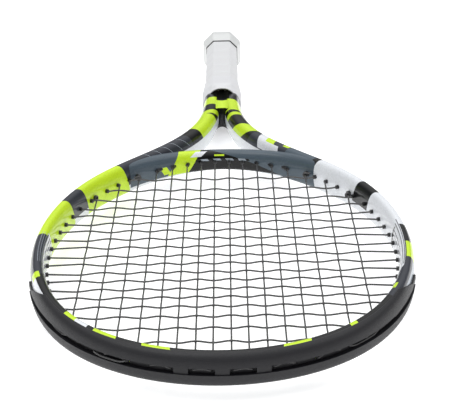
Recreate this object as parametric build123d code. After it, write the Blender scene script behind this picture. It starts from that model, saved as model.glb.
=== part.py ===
from build123d import *
import math
import os

# Tennis racket. The origin is the middle of the butt cap's end face. -Y runs up the handle
# to the tip of the hoop, +X is across the strings and +Z is square to them. All sizes are
# in millimetres, and "s" is a distance from the butt face, so y = -s.

# ---------------------------------------------------------------- the frame
OVERALL_LENGTH = 685.0       # butt face to the outside of the bumper at the tip
WIDEST_S = 511.0             # where the hoop is widest
HOOP_HALF_WIDTH = 130.2      # middle of the hoop tube at the widest place
TIP_FULLNESS = 3.4           # how far the hoop stands out past an ellipse near the tip
BRIDGE_S = 317.5             # middle of the bridge on the centre line
SHAFT_LEAVES_ANGLE = 42.0    # degrees past the widest place where a shaft leaves the hoop
SHAFT_CURVE_HOOP_END = 68.0  # pull of the shaft's curve at the hoop
SHAFT_CURVE_GRIP_END = 125.0  # pull of the shaft's curve at the grip
SHAFT_FOOT_S = 178.0         # where the shaft curve ends and runs into the handle
SHAFT_FOOT_X = 8.9           # middle of a shaft there
HAIRPIN_S = 157.0            # from here down both tube legs are straight
LEG_COVER = 0.3              # foam between a leg's side and the butt cap's sleeve
HAIRPIN_END_S = 9.0          # where the legs end inside the butt cap

HOOP_TUBE_WIDTH = 10.6       # across the hoop tube in the plane of the strings
SHAFT_TUBE_WIDTH = 15.2      # across a shaft in the throat
LEG_TUBE_WIDTH = 10.8        # across a leg inside the handle
TIP_BEAM = 23.0              # height of the frame, square to the strings, at the tip
SIDE_BEAM = 26.0             # at the sides and shoulders
FOOT_BEAM = 23.0             # just above the grip
LEG_BEAM = 21.0              # inside the handle
TUBE_WALL = 1.35             # composite wall
TUBE_ROUNDNESS = 2.5         # 2 is an ellipse, more is squarer
SHAFT_WIDE_S = 262.0         # the shafts are full width up to here
SHAFT_NARROW_S = 400.0       # and have thinned to the hoop tube's width here
TIP_SLOPE_S = 560.0          # the beam thins from here to the tip
FOOT_SLOPE_S = 330.0         # and from here to the shafts' feet

YOKE_S = 212.0               # bottom of the V between the shafts
YOKE_RADIUS = 4.2            # its rounding
YOKE_SINK = 0.7              # how far the web between the shafts lies below their crests
YOKE_ARMS = 6.0              # how far it runs on along the shafts past the V's bottom
YOKE_ROOT = 0.8              # share of a shaft's half width that it sinks in

BRIDGE_WIDTH = 11.0
BRIDGE_BEAM = 17.0           # at the centre line
BRIDGE_END_BEAM = 25.4       # where it runs into the shafts
BRIDGE_END_ANGLE = 60.0      # degrees past the widest place where the bridge piece ends
BRIDGE_ROOT_ANGLE = 47.0     # where its moulded root has sunk into the shaft
BRIDGE_ROOT_SINK = 0.7       # how much the root has thinned there

# ---------------------------------------------------------------- string groove and guards
GROOVE_DEPTH = 2.7
GROOVE_WIDTH = 6.4
GROOVE_RUN_OUT = 0.6         # how far its floor rises out of the tube at its ends
GROOVE_END_S = 331.0         # the groove runs out on the shoulders
GROOVE_FADE = 8.0            # on each side of that place
CUT_PAST = 4.0               # how far groove and hole cutters reach past the tube
BRIDGE_GROOVE_WIDTH = 4.6
BRIDGE_GROOVE_DEPTH = 2.3
FIT_CLEARANCE = 0.05         # between moulded pieces that sit in each other
STRIP_FLOOR = 0.8            # band of a grommet strip in the groove
BUMPER_WALL = 1.6            # bumper outside the tube
BUMPER_LIP = 0.9             # bumper lining of the groove's sides
BUMPER_EDGE = 0.6            # bumper's thickness where its wrap ends
CHANNEL_SKIN = 0.03          # left on the channel's walls where barrels are trimmed
ISLAND_SINK = 1.0            # raised parts of its channel lie this far below its outside
ISLAND_GAP = 3.2             # room for the string at each end of a raised part
BUMPER_TUCK = 0.2            # the bumper's wrap ends this far below the tube's crest
BUMPER_END_S = 559.0         # where the bumper ends on both sides
BUMPER_LOW = 5.0             # half height of its ends
BUMPER_LOW_RUN = 15.0        # length of those low ends
BUMPER_SLOPE_RUN = 24.0      # from them its wrap slopes up to the crest
STRIP_GAP = 1.0              # along the groove between one guard and the next
BARREL_RADIUS = 1.6
BARREL_STANDS_IN = 2.0       # grommet barrel past the inner wall
EXIT_ROOM = 0.65             # round the string's bend at a barrel's exit

# ---------------------------------------------------------------- strings
STRING_DIAMETER = 1.3
STRING_IN_BARREL = 0.08      # clearance round the string in a barrel
MAIN_FIRST_X = 5.8           # first main string from the centre line
MAIN_SPACINGS = [11.1, 11.8, 12.0, 12.7, 13.9, 14.9, 16.0]
CROSS_FIRST_S = 362.3        # first cross string on the throat side
CROSS_SPACINGS = [22.9, 19.8, 16.3, 15.3, 14.8, 14.5, 14.9, 14.9, 15.4,
                  13.8, 14.4, 13.1, 13.8, 13.1, 14.0, 14.9, 16.7, 19.2]
THROAT_EXIT_PULL = [0.0, 0.6, 2.4, 5.6, 11.0]  # barrels in the bridge lean to the centre
MAIN_WAVE = 0.6              # height of a main string's wave; the crosses take the rest
CROSSING_GAP = 0.06          # between the two strings where they cross
LOOP_ROOM = 0.28             # between a loop and the side of the narrowest channel
LOOP_STEP = 5.0              # spacing of the loop's bends along the groove
GROMMET_BEND = 1.3           # radius of the string round the end of a barrel
WAVE_BEND = 40.0             # radius of the string over a crossing
WAVE_STRAIGHT = 0.4          # share of the way to the next crossing that a wave's bend may take
LOOP_BEND = 12.0             # radius of its gentle bends in the groove
TIE_MAIN = 5                 # index of the mains whose throat holes take the main's ends
TIP_TIE_MAIN = 4             # index of the main whose tip hole takes the cross's first end
KNOT_TURNS = 1.5             # turns of a tied end round its neighbour
KNOT_SLACK = 0.3             # room between a knot's turns and the string inside them
KNOT_START = 1.6             # first turn of the knot from the barrel's mouth
KNOT_CORNERS = 6             # bends in a turn of the knot
KNOT_TAIL = 4.0
KNOT_TAIL_LEAN = 0.1         # of the tail along its neighbour
SMALLEST_BEND = 0.004        # radians, a string's bends below this are left straight
BEND_SHARE = 0.48            # share of a straight run that a bend may take

# ---------------------------------------------------------------- handle
GRIP_WIDTH = 30.6            # across the grip in X
GRIP_HEIGHT = 33.4           # across the grip in Z
GRIP_BEVEL = 7.2             # run of each corner bevel of the octagon
GRIP_THICKNESS = 1.8
GRIP_START_S = 21.5          # where the grip meets the butt cap's flare
GRIP_END_S = 163.0
CAP_FLARE_X = 3.8            # how far the butt cap's flare stands out past the grip in X
CAP_FLARE_Z = 3.6            # and in Z
CAP_BEVEL = 10.2
CAP_RIM = 1.8                # bevelled rim of the end face
CAP_FULL_S = 9.0             # the flare stays full to here
CAP_FLOOR = 4.0              # thickness of the end wall
CAP_SLEEVE_S = 46.0          # the sleeve of the butt cap under the grip ends here
CAP_SLEEVE_WALL = 1.2
TAPE_START_S = 154.0
TAPE_END_S = 162.0
TAPE_THICKNESS = 0.3
COLLAR_START_S = 141.0
COLLAR_FULL_S = 150.0        # the collar has reached its full width here
COLLAR_TURN_S = 168.0        # and narrows from here to its rim
COLLAR_END_S = 175.0
COLLAR_WALL = 1.1
COLLAR_EDGE = 0.6            # thickness of the collar's thin end on the grip
COLLAR_EDGE_RUN = 2.0        # length of that end that fits the grip closely
COLLAR_SWELL_X = 2.7         # how far its full part stands out past the grip in X
COLLAR_SWELL_Z = 2.1         # and in Z
COLLAR_SWELL_BEVEL = 2.0     # how much larger its bevels are
COLLAR_RIM_X = 2.3           # how far its rim stands out past the grip in X
COLLAR_RIM_Z = -0.9          # and in Z, where it closes in on the frame
COLLAR_RIM_BEVEL = 0.5
THROUGH = 1.0                # past both ends of a cut that goes through
PLUG_LENGTH = 12.0
STAPLE_CROWN = 10.0          # width of a butt cap staple
STAPLE_WIRE = 0.7
STAPLE_LEG = 4.0
STAPLE_S = 34.0
TACK_CROWN = 5.0             # width of the grip's own small staple
TACK_LEG = 1.45
TACK_S = 28.0

# ---------------------------------------------------------------- worked out from the above
GRIP_INSIDE = GRIP_THICKNESS + CAP_SLEEVE_WALL
HAIRPIN_X = GRIP_WIDTH / 2 - GRIP_INSIDE - LEG_COVER - LEG_TUBE_WIDTH / 2
TIP_MIDDLE_S = OVERALL_LENGTH - BUMPER_WALL - HOOP_TUBE_WIDTH / 2
STRING_RADIUS = STRING_DIAMETER / 2
SHARED_SIDE = STRING_RADIUS + STRING_IN_BARREL / 2
SHARED_BORE = SHARED_SIDE + STRING_RADIUS + STRING_IN_BARREL
SHARED_RADIUS = BARREL_RADIUS + SHARED_SIDE
CROSS_WAVE = STRING_DIAMETER + CROSSING_GAP - MAIN_WAVE
CHANNEL_SIDE = GROOVE_WIDTH / 2 - FIT_CLEARANCE - BUMPER_LIP
LOOP_SIDE = min(CHANNEL_SIDE, BRIDGE_GROOVE_WIDTH / 2) - STRING_RADIUS - LOOP_ROOM
EXIT_FLARE = STRING_RADIUS + EXIT_ROOM
LOOP_OFFSET = STRIP_FLOOR + FIT_CLEARANCE + STRING_RADIUS + STRING_IN_BARREL
LEG_LENGTH = HAIRPIN_S - HAIRPIN_END_S
UP = Vector(0, 0, 1)


def running_total(first, steps):
    """The first place and every later one, from the steps between them."""
    places = [first]
    for step in steps:
        places.append(places[-1] + step)
    return places


MAIN_X = running_total(MAIN_FIRST_X, MAIN_SPACINGS)
CROSS_S = running_total(CROSS_FIRST_S, CROSS_SPACINGS)


def ease(value, low, high):
    """0 below low, 1 above high, with a smooth change between."""
    share = min(max((value - low) / (high - low), 0.0), 1.0)
    return share * share * (3 - 2 * share)


# ---------------------------------------------------------------- centre lines
# A frame place "t" is 0 at the tip, 1 at the widest place, 2 where the shaft leaves the
# hoop, 3 at the shaft's foot, 4 at the top of the straight legs and 5 at their ends. A
# negative t is the same place on the -X side.

def frame_middle(t):
    """Middle of the frame tube at t, as (x, y)."""
    side = -1 if t < 0 else 1
    t = abs(t)
    if t <= 1:
        turn = math.radians(90 * t)
        bulge = TIP_FULLNESS * math.sin(2 * turn) ** 2 / math.sqrt(2)
        x = HOOP_HALF_WIDTH * math.sin(turn) + bulge
        y = -WIDEST_S - (TIP_MIDDLE_S - WIDEST_S) * math.cos(turn) - bulge
        return side * x, y
    if t <= 2:
        x, y = throat_ellipse(SHAFT_LEAVES_ANGLE * (t - 1))
        return side * x, y
    if t <= 3:
        x, y = shaft_curve(t - 2)
        return side * x, y
    if t <= 4:
        y = -SHAFT_FOOT_S + (t - 3) * (SHAFT_FOOT_S - HAIRPIN_S)
        x = HAIRPIN_X + (SHAFT_FOOT_X - HAIRPIN_X) * ease(-y, HAIRPIN_S, SHAFT_FOOT_S)
        return side * x, y
    return side * HAIRPIN_X, -HAIRPIN_S + (t - 4) * (HAIRPIN_S - HAIRPIN_END_S)


def throat_ellipse(angle):
    """The hoop's line towards the handle, angle degrees past the widest place."""
    turn = math.radians(angle)
    return HOOP_HALF_WIDTH * math.cos(turn), -WIDEST_S + (WIDEST_S - BRIDGE_S) * math.sin(turn)


def shaft_curve(share):
    """Bezier curve from the hoop's shoulder to the shaft's foot."""
    turn = math.radians(SHAFT_LEAVES_ANGLE)
    start = Vector(*throat_ellipse(SHAFT_LEAVES_ANGLE))
    leaving = Vector(-HOOP_HALF_WIDTH * math.sin(turn), (WIDEST_S - BRIDGE_S) * math.cos(turn))
    foot = Vector(SHAFT_FOOT_X, -SHAFT_FOOT_S)
    first = start + leaving.normalized() * SHAFT_CURVE_HOOP_END
    second = foot - Vector(0, SHAFT_CURVE_GRIP_END)
    rest = 1 - share
    point = (start * rest ** 3 + first * 3 * rest ** 2 * share
             + second * 3 * rest * share ** 2 + foot * share ** 3)
    return point.X, point.Y


def bridge_middle(angle):
    """Middle of the bridge: 0 and 180 degrees are the widest places, 90 the centre line."""
    return throat_ellipse(angle)


def heading(line, t, step=0.002):
    """Unit direction of a centre line at t."""
    x0, y0 = line(t - step)
    x1, y1 = line(t + step)
    return Vector(x1 - x0, y1 - y0).normalized()


def frame_outward(t):
    """Unit normal of the frame's line that points away from the strings."""
    along = heading(frame_middle, t)
    return Vector(along.Y, -along.X)


def bridge_outward(angle):
    """Unit normal of the bridge's line that points away from the strings."""
    along = heading(bridge_middle, angle, 0.1)
    return Vector(along.Y, -along.X)


def frame_place(t, out=0.0, up=0.0):
    """A point by its distance outward from the tube's middle and above its mid plane."""
    x, y = frame_middle(t)
    return Vector(x, y) + frame_outward(t) * out + UP * up


def bridge_place(angle, out=0.0, up=0.0):
    x, y = bridge_middle(angle)
    return Vector(x, y) + bridge_outward(angle) * out + UP * up


# ---------------------------------------------------------------- sections
def frame_half_width(t):
    s = -frame_middle(t)[1]
    narrowed = ease(s, SHAFT_WIDE_S, SHAFT_NARROW_S)
    shaft = SHAFT_TUBE_WIDTH + (HOOP_TUBE_WIDTH - SHAFT_TUBE_WIDTH) * narrowed
    return (LEG_TUBE_WIDTH + (shaft - LEG_TUBE_WIDTH) * ease(s, HAIRPIN_S, SHAFT_FOOT_S)) / 2


def frame_half_height(t):
    s = -frame_middle(t)[1]
    upper = SIDE_BEAM + (TIP_BEAM - SIDE_BEAM) * ease(s, TIP_SLOPE_S, OVERALL_LENGTH)
    lower = FOOT_BEAM + (upper - FOOT_BEAM) * ease(s, SHAFT_FOOT_S, FOOT_SLOPE_S)
    return (LEG_BEAM + (lower - LEG_BEAM) * ease(s, HAIRPIN_S, SHAFT_FOOT_S)) / 2


def frame_groove_depth(t):
    s = -frame_middle(t)[1]
    sunk = ease(s, GROOVE_END_S - GROOVE_FADE, GROOVE_END_S + GROOVE_FADE)
    return (GROOVE_DEPTH + GROOVE_RUN_OUT) * sunk - GROOVE_RUN_OUT


def bridge_half_height(angle):
    rise = abs(90 - angle) / (90 - BRIDGE_ROOT_ANGLE)
    return (BRIDGE_BEAM + (BRIDGE_END_BEAM - BRIDGE_BEAM) * ease(rise, 0, 1)) / 2


def section(place, t, half_width, half_height, shift=0.0):
    """Closed rounded outline of a tube, in two splines that meet on its crests."""
    def half(sign):
        points = []
        for step in range(9):
            turn = math.radians(90 - 22.5 * step)
            across = abs(math.cos(turn)) ** (2 / TUBE_ROUNDNESS)
            rise = math.copysign(abs(math.sin(turn)) ** (2 / TUBE_ROUNDNESS), math.sin(turn))
            points.append(place(t, shift + sign * half_width * across, half_height * rise))
        return points
    outer = half(1)
    inner = list(reversed(half(-1)))
    out = (place(t, 1) - place(t, 0)).normalized()
    return Wire([Edge.make_spline(outer, tangents=[out, -out], scale=False),
                 Edge.make_spline(inner, tangents=[-out, out], scale=False)])


def ring(points):
    """Closed outline of straight sides."""
    return Wire.make_polygon(points, close=True)


def spread(low, high, count):
    return [low + (high - low) * step / count for step in range(count + 1)]


SPANS = [(-1, 1, 16), (1, 2, 5), (2, 3, 12), (3, 4, 4), (4, 5, 1)]


def lofted(outline, spans):
    """Loft outline(t) over each span and its mirror image, and join the lengths."""
    lengths = []
    for low, high, count in spans:
        places = spread(low, high, count)
        lengths.append(Solid.make_loft([outline(t) for t in places]))
        if low > 0:
            lengths.append(Solid.make_loft([outline(-t) for t in places]))
    return lengths[0].fuse(*lengths[1:]) if len(lengths) > 1 else lengths[0]


def solve(gap, low, high):
    """Where gap changes sign between low and high, by halving."""
    rising = gap(high) > gap(low)
    for _ in range(50):
        middle = (low + high) / 2
        if (gap(middle) > 0) == rising:
            high = middle
        else:
            low = middle
    return (low + high) / 2


def frame_at_s(s):
    """Place t on the +X side whose middle lies at a distance s from the butt."""
    return solve(lambda t: frame_middle(t)[1] + s, 0.0, 5.0)


# ---------------------------------------------------------------- frame and bridge
def tube_outline(t):
    return section(frame_place, t, frame_half_width(t), frame_half_height(t))


def hollow_outline(t):
    """The hollow of the tube keeps its wall clear of the string groove."""
    low = -frame_half_width(t) + TUBE_WALL
    high = frame_half_width(t) - TUBE_WALL - max(frame_groove_depth(t), 0)
    return section(frame_place, t, (high - low) / 2,
                   frame_half_height(t) - TUBE_WALL, (high + low) / 2)


def groove_outline(t):
    floor = frame_half_width(t) - frame_groove_depth(t)
    over = frame_half_width(t) + CUT_PAST
    side = GROOVE_WIDTH / 2
    return ring([frame_place(t, floor, -side), frame_place(t, over, -side),
                 frame_place(t, over, side), frame_place(t, floor, side)])


def yoke_web():
    """The web moulded between the shafts, with the rounded bottom of the V."""
    stations = [t for t in spread(2.5, 4, 30) if -frame_middle(t)[1] < YOKE_S + YOKE_ARMS]
    wall = [frame_place(t, -frame_half_width(t) * YOKE_ROOT) for t in stations]
    left = [Vector(-p.X, p.Y) for p in wall]
    height = FOOT_BEAM - 2 * YOKE_SINK
    web = Solid.extrude(Face(ring(left + wall[::-1])), UP * height).moved(Location((0, 0, -height / 2)))
    notch_y = -YOKE_S - YOKE_RADIUS
    notch = Solid.make_cylinder(YOKE_RADIUS, FOOT_BEAM, Plane((0, notch_y, -FOOT_BEAM / 2)))
    room = Solid.make_box(4 * YOKE_RADIUS, 4 * YOKE_RADIUS, FOOT_BEAM)
    room = room.moved(Location((-2 * YOKE_RADIUS, notch_y - 4 * YOKE_RADIUS, -FOOT_BEAM / 2)))
    return web - notch - room


def bridge_outside(low, high, count):
    """A stretch of the bridge between two angles; its roots sink into the shafts."""
    wires = []
    for angle in spread(low, high, count):
        sunk = ease(abs(90 - angle), 90 - BRIDGE_END_ANGLE, 90 - BRIDGE_ROOT_ANGLE)
        wires.append(section(bridge_place, angle, BRIDGE_WIDTH / 2 - BRIDGE_ROOT_SINK * sunk,
                             bridge_half_height(angle)))
    return Solid.make_loft(wires)


def bridge_groove():
    wires = []
    side = BRIDGE_GROOVE_WIDTH / 2
    for angle in spread(BRIDGE_END_ANGLE - 1, 181 - BRIDGE_END_ANGLE, 16):
        floor = BRIDGE_WIDTH / 2 - BRIDGE_GROOVE_DEPTH
        over = BRIDGE_WIDTH / 2 + CUT_PAST
        wires.append(ring([bridge_place(angle, floor, -side), bridge_place(angle, over, -side),
                           bridge_place(angle, over, side), bridge_place(angle, floor, side)]))
    return Solid.make_loft(wires)


def frame_solid():
    """Outside of the hairpin tube, with no hollow, groove or holes: others fit round it."""
    return lofted(tube_outline, SPANS)


def make_frame_tube(tube, web, holes):
    end = frame_at_s(GROOVE_END_S - 1.5 * GROOVE_FADE)
    roots = [bridge_outside(BRIDGE_ROOT_ANGLE, BRIDGE_END_ANGLE, 4),
             bridge_outside(180 - BRIDGE_END_ANGLE, 180 - BRIDGE_ROOT_ANGLE, 4)]
    body = tube.fuse(*roots, web)
    body = body.cut(lofted(hollow_outline, SPANS))
    body = body.cut(lofted(groove_outline, [(-1, 1, 16), (1, 2, 5), (2, end, 8)]))
    return body.cut(*[hole.drill() for hole in holes if not hole.in_bridge])


def make_bridge(tube, holes):
    body = bridge_outside(BRIDGE_END_ANGLE, 180 - BRIDGE_END_ANGLE, 12).cut(tube)
    body = body.cut(bridge_groove())
    return body.cut(*[hole.drill() for hole in holes if hole.in_bridge])


# ---------------------------------------------------------------- string holes
class Hole:
    """A string hole: its barrel's mouth inside the hoop and its exit in the groove."""

    def __init__(self, mouth, place, in_bridge=False, shared=False):
        self.mouth = mouth
        self.place = place
        self.in_bridge = in_bridge
        self.shared = shared
        self.way = (self.exit(0) - mouth).normalized()

    def exit(self, layer, up=0.0):
        """Where the string turns into the groove, on the first layer or one above it."""
        return groove_run(self.in_bridge, self.place, layer, up)

    def rod(self, radius, before, after):
        """A cylinder along the hole from before its mouth to past its exit."""
        start = self.mouth - self.way * before
        length = (self.exit(0) - self.mouth).length + before + after
        return Solid.make_cylinder(radius, length, Plane(start, z_dir=self.way))

    def barrel_radius(self):
        return SHARED_RADIUS if self.shared else BARREL_RADIUS

    def bore_radius(self):
        return SHARED_BORE if self.shared else STRING_RADIUS + STRING_IN_BARREL

    def drill(self):
        """The hole in the frame that the barrel passes through."""
        return self.rod(self.barrel_radius() + FIT_CLEARANCE, BARREL_STANDS_IN, CUT_PAST)

    def barrel(self):
        return self.rod(self.barrel_radius(), 0, -STRING_RADIUS - STRIP_FLOOR / 2)

    def seats(self):
        """Heights of the strings in the barrel: side by side where it takes two."""
        return (SHARED_SIDE, -SHARED_SIDE) if self.shared else (0.0,)

    def bore(self):
        """The way for the string, rounded where the string bends into the groove."""
        flares = [ball(self.exit(0, up), EXIT_FLARE) for up in self.seats()]
        return [self.rod(self.bore_radius(), BARREL_STANDS_IN, CUT_PAST)] + flares


def ball(centre, radius):
    return Solid.make_sphere(radius, Plane(centre))


def groove_run(in_bridge, place, layer=0, up=0.0):
    """A point on the strings' run in the groove of the frame or of the bridge."""
    rise = LOOP_OFFSET + layer * (STRING_DIAMETER + 2 * CROSSING_GAP)
    if in_bridge:
        return bridge_place(place, BRIDGE_WIDTH / 2 - BRIDGE_GROOVE_DEPTH + rise, up)
    return frame_place(place, frame_half_width(place) - GROOVE_DEPTH + rise, up)


def mouth_on_frame(t):
    return frame_place(t, -frame_half_width(t) - BARREL_STANDS_IN)


def mouth_on_bridge(angle):
    return bridge_place(angle, -BRIDGE_WIDTH / 2 - BARREL_STANDS_IN)


def frame_foot(point, low=0.0, high=3.5):
    """Place on the frame's line square to a point."""
    def ahead(t):
        x, y = frame_middle(t)
        return heading(frame_middle, t).dot(point - Vector(x, y))
    return solve(ahead, low, high)


def mirrored(hole):
    """The same hole on the -X side."""
    mouth = Vector(-hole.mouth.X, hole.mouth.Y)
    place = 180 - hole.place if hole.in_bridge else -hole.place
    return Hole(mouth, place, hole.in_bridge, hole.shared)


def tip_hole(index):
    """Right-hand hole of a main string at the tip."""
    t = solve(lambda t: mouth_on_frame(t).X - MAIN_X[index], 0.0, 1.0)
    return Hole(mouth_on_frame(t), t, shared=index == TIP_TIE_MAIN)


def throat_hole(index):
    """Right-hand hole of a main string at the throat: in the bridge, its root or the tube."""
    angle = solve(lambda a: mouth_on_bridge(a).X - MAIN_X[index], 20.0, 95.0)
    if index < len(THROAT_EXIT_PULL):
        inward = MAIN_X[index] - THROAT_EXIT_PULL[index]
        leaving = solve(lambda a: groove_run(True, a).X - inward, 20.0, 95.0)
        return Hole(mouth_on_bridge(angle), leaving, in_bridge=True)
    if angle > (BRIDGE_ROOT_ANGLE + BRIDGE_END_ANGLE) / 2:
        mouth = mouth_on_bridge(angle)
        return Hole(mouth, frame_foot(mouth), shared=index == TIE_MAIN)
    t = solve(lambda t: mouth_on_frame(t).X - MAIN_X[index], 1.0, 2.8)
    return Hole(mouth_on_frame(t), t, shared=index == len(MAIN_X) - 1)


def cross_hole(index):
    """Right-hand hole of a cross string."""
    t = solve(lambda t: mouth_on_frame(t).Y + CROSS_S[index], 0.05, 3.0)
    return Hole(mouth_on_frame(t), t)


# ---------------------------------------------------------------- grommet strips and bumper
def band(run, places, low, high, half):
    """A flat band lofted along the groove between two depths."""
    wires = []
    for place in places:
        wires.append(ring([run(place, low, -half), run(place, high, -half),
                           run(place, high, half), run(place, low, half)]))
    return Solid.make_loft(wires)


def frame_floor(t, rise, up):
    """A point above the floor of the frame's groove."""
    return frame_place(t, frame_half_width(t) - GROOVE_DEPTH + rise, up)


def bridge_floor(angle, rise, up):
    return bridge_place(angle, BRIDGE_WIDTH / 2 - BRIDGE_GROOVE_DEPTH + rise, up)


def with_barrels(base, holes):
    """Add the barrels to a strip and bore them."""
    body = base.fuse(*[hole.barrel() for hole in holes])
    return body.cut(*[cutter for hole in holes for cutter in hole.bore()])


def make_side_strip(holes):
    """Grommet strip of the +X side, from the bumper to the shoulder."""
    last_s = GROOVE_END_S + GROOVE_FADE + STRIP_GAP
    places = spread(frame_at_s(BUMPER_END_S - STRIP_GAP), frame_at_s(last_s), 26)
    half = GROOVE_WIDTH / 2 - FIT_CLEARANCE
    floor = band(frame_floor, places, FIT_CLEARANCE, FIT_CLEARANCE + STRIP_FLOOR, half)
    return with_barrels(floor, holes)


def make_bridge_strip(holes):
    edge = bridge_strip_end()
    half = BRIDGE_GROOVE_WIDTH / 2 - FIT_CLEARANCE
    floor = band(bridge_floor, spread(edge, 180 - edge, 16), FIT_CLEARANCE,
                 FIT_CLEARANCE + STRIP_FLOOR, half)
    channel = band(bridge_floor, spread(edge - 1, 181 - edge, 16),
                   FIT_CLEARANCE + STRIP_FLOOR + CHANNEL_SKIN, 2 * BRIDGE_GROOVE_DEPTH, half)
    return with_barrels(floor, holes).cut(channel)


def bridge_strip_end():
    """Angle where the bridge's strip ends, just past its last barrel."""
    last = max(MAIN_X[k] - pull for k, pull in enumerate(THROAT_EXIT_PULL))
    reach = last + BARREL_RADIUS + FIT_CLEARANCE
    return solve(lambda a: groove_run(True, a).X - reach, 20.0, 95.0)


def tube_surface(t, up):
    """How far the tube's outer wall stands out from its middle at a height."""
    share = min(abs(up) / frame_half_height(t), 1.0)
    return frame_half_width(t) * (1 - share ** TUBE_ROUNDNESS) ** (1 / TUBE_ROUNDNESS)


def bumper_outline(t):
    """Outline across the bumper: a wrap on each side, two lips and the groove's floor."""
    lip_out = GROOVE_WIDTH / 2 - FIT_CLEARANCE
    lip_in = lip_out - BUMPER_LIP
    bottom = frame_half_width(t) - GROOVE_DEPTH + FIT_CLEARANCE
    reach = frame_half_height(t) - BUMPER_TUCK

    def arc(sign, low, thick_low, thick_high):
        points = []
        for step in spread(0, 1, 7):
            up = reach - (reach - low) * step ** 2
            thick = thick_high + (thick_low - thick_high) * step
            points.append(frame_place(t, tube_surface(t, up) + thick, sign * up))
        return points

    def side(sign):
        under = arc(sign, lip_out, FIT_CLEARANCE, FIT_CLEARANCE)[::-1]
        over = arc(sign, lip_in, BUMPER_WALL, BUMPER_EDGE)
        return [Edge.make_line(frame_place(t, bottom, sign * lip_out), under[0]),
                Edge.make_spline(under),
                Edge.make_line(under[-1], over[0]),
                Edge.make_spline(over),
                Edge.make_line(over[-1], frame_place(t, bottom + STRIP_FLOOR, sign * lip_in))]

    across = Edge.make_line(frame_place(t, bottom + STRIP_FLOOR, lip_in),
                            frame_place(t, bottom + STRIP_FLOOR, -lip_in))
    back = Edge.make_line(frame_place(t, bottom, -lip_out), frame_place(t, bottom, lip_out))
    return Wire(side(1) + [across] + side(-1) + [back])


def bumper_islands(places):
    """Raised stretches of the bumper's channel between neighbouring string loops."""
    half = GROOVE_WIDTH / 2 - FIT_CLEARANCE - BUMPER_LIP / 2
    islands = []
    for low, high in places:
        islands.append(band(frame_floor, spread(low, high, 4), STRIP_FLOOR / 2,
                            GROOVE_DEPTH + BUMPER_WALL - ISLAND_SINK, half))
    return islands


def bumper_slopes():
    """Wedges, above and below, that slope the bumper's ends down from the crest."""
    low_s = BUMPER_END_S + BUMPER_LOW_RUN
    crest_s = low_s + BUMPER_SLOPE_RUN
    past_s = BUMPER_END_S - BUMPER_LOW_RUN
    top = frame_half_height(frame_at_s(crest_s))
    outline = [(crest_s, top), (low_s, BUMPER_LOW), (past_s, BUMPER_LOW),
               (past_s, 2 * top), (crest_s, 2 * top)]
    reach = HOOP_HALF_WIDTH + HOOP_TUBE_WIDTH
    face = Face(ring([Vector(-reach, -s, up) for s, up in outline]))
    wedge = Solid.extrude(face, Vector(2 * reach, 0, 0))
    return [wedge, wedge.mirror(Plane.XY)]


def make_bumper(holes, tip):
    end = frame_at_s(BUMPER_END_S)
    body = lofted(bumper_outline, [(-end, end, 24)])
    low, high = FIT_CLEARANCE + STRIP_FLOOR + CHANNEL_SKIN, 2 * GROOVE_DEPTH + BUMPER_WALL
    half = CHANNEL_SIDE - CHANNEL_SKIN
    channel = band(frame_floor, spread(-end - 0.02, end + 0.02, 40), low, high, half)
    body = with_barrels(body.cut(channel), holes)
    gap = ISLAND_GAP / (WIDEST_S - TIP_MIDDLE_S) / -2
    pairs = [(-tip[0].place, tip[0].place), (tip[1].place, tip[2].place)]
    places = [(low + gap, high - gap) for low, high in pairs]
    places.append((-places[1][1], -places[1][0]))
    return body.fuse(*bumper_islands(places)).cut(*bumper_slopes())


# ---------------------------------------------------------------- strings
def rounded_path(bends):
    """Straight runs joined by tangent arcs, from (point, radius) pairs."""
    points = [point for point, _ in bends]
    edges = []
    here = points[0]
    for before, (corner, radius), after in zip(points, bends[1:-1], points[2:]):
        arriving = (corner - before).normalized()
        leaving = (after - corner).normalized()
        turn = math.radians(arriving.get_angle(leaving))
        if turn < SMALLEST_BEND:
            continue
        shorter = min((corner - before).length, (after - corner).length)
        back = min(radius * math.tan(turn / 2), BEND_SHARE * shorter)
        radius = back / math.tan(turn / 2)
        start = corner - arriving * back
        end = corner + leaving * back
        inward = (leaving - arriving).normalized()
        middle = corner + inward * (radius / math.cos(turn / 2) - radius)
        edges.append(Edge.make_line(here, start))
        edges.append(Edge.make_three_point_arc(start, middle, end))
        here = end
    edges.append(Edge.make_line(here, points[-1]))
    return Wire(edges)


def string_solid(bends):
    path = rounded_path(bends)
    start = bends[0][0]
    profile = Wire.make_circle(STRING_RADIUS, Plane(start, z_dir=bends[1][0] - start))
    return Solid.sweep(Face(profile), path), path.length


def groove_bends(in_bridge, start, end, layer, side):
    """A loop's bends between two exits, on its own side of the groove."""
    a = groove_run(in_bridge, start, layer)
    b = groove_run(in_bridge, end, layer)
    count = max(2, round((b - a).length / LOOP_STEP))
    return [(groove_run(in_bridge, place, layer, side), LOOP_BEND)
            for place in spread(start, end, count)[1:-1]]


def crosses_over(main, cross):
    """1 where the cross string passes above the main, -1 where it passes below."""
    return 1 if (main + cross) % 2 == 0 else -1


def through(hole, layer=0, up=0.0):
    """A string's two bends at a hole, from inside the hoop to the groove."""
    return [(hole.mouth + UP * up, GROMMET_BEND), (hole.exit(layer, up), GROMMET_BEND)]


def wave_top(rise, before, after):
    """Height of a wave's corner, so that its rounded top lies at the rise."""
    corner = rise
    for _ in range(12):
        half_turn = (math.atan(2 * corner / before) + math.atan(2 * corner / after)) / 2
        radius = min(WAVE_BEND, WAVE_STRAIGHT * min(before, after) / math.tan(half_turn))
        corner = rise + radius * (1 / math.cos(half_turn) - 1)
    return corner


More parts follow.
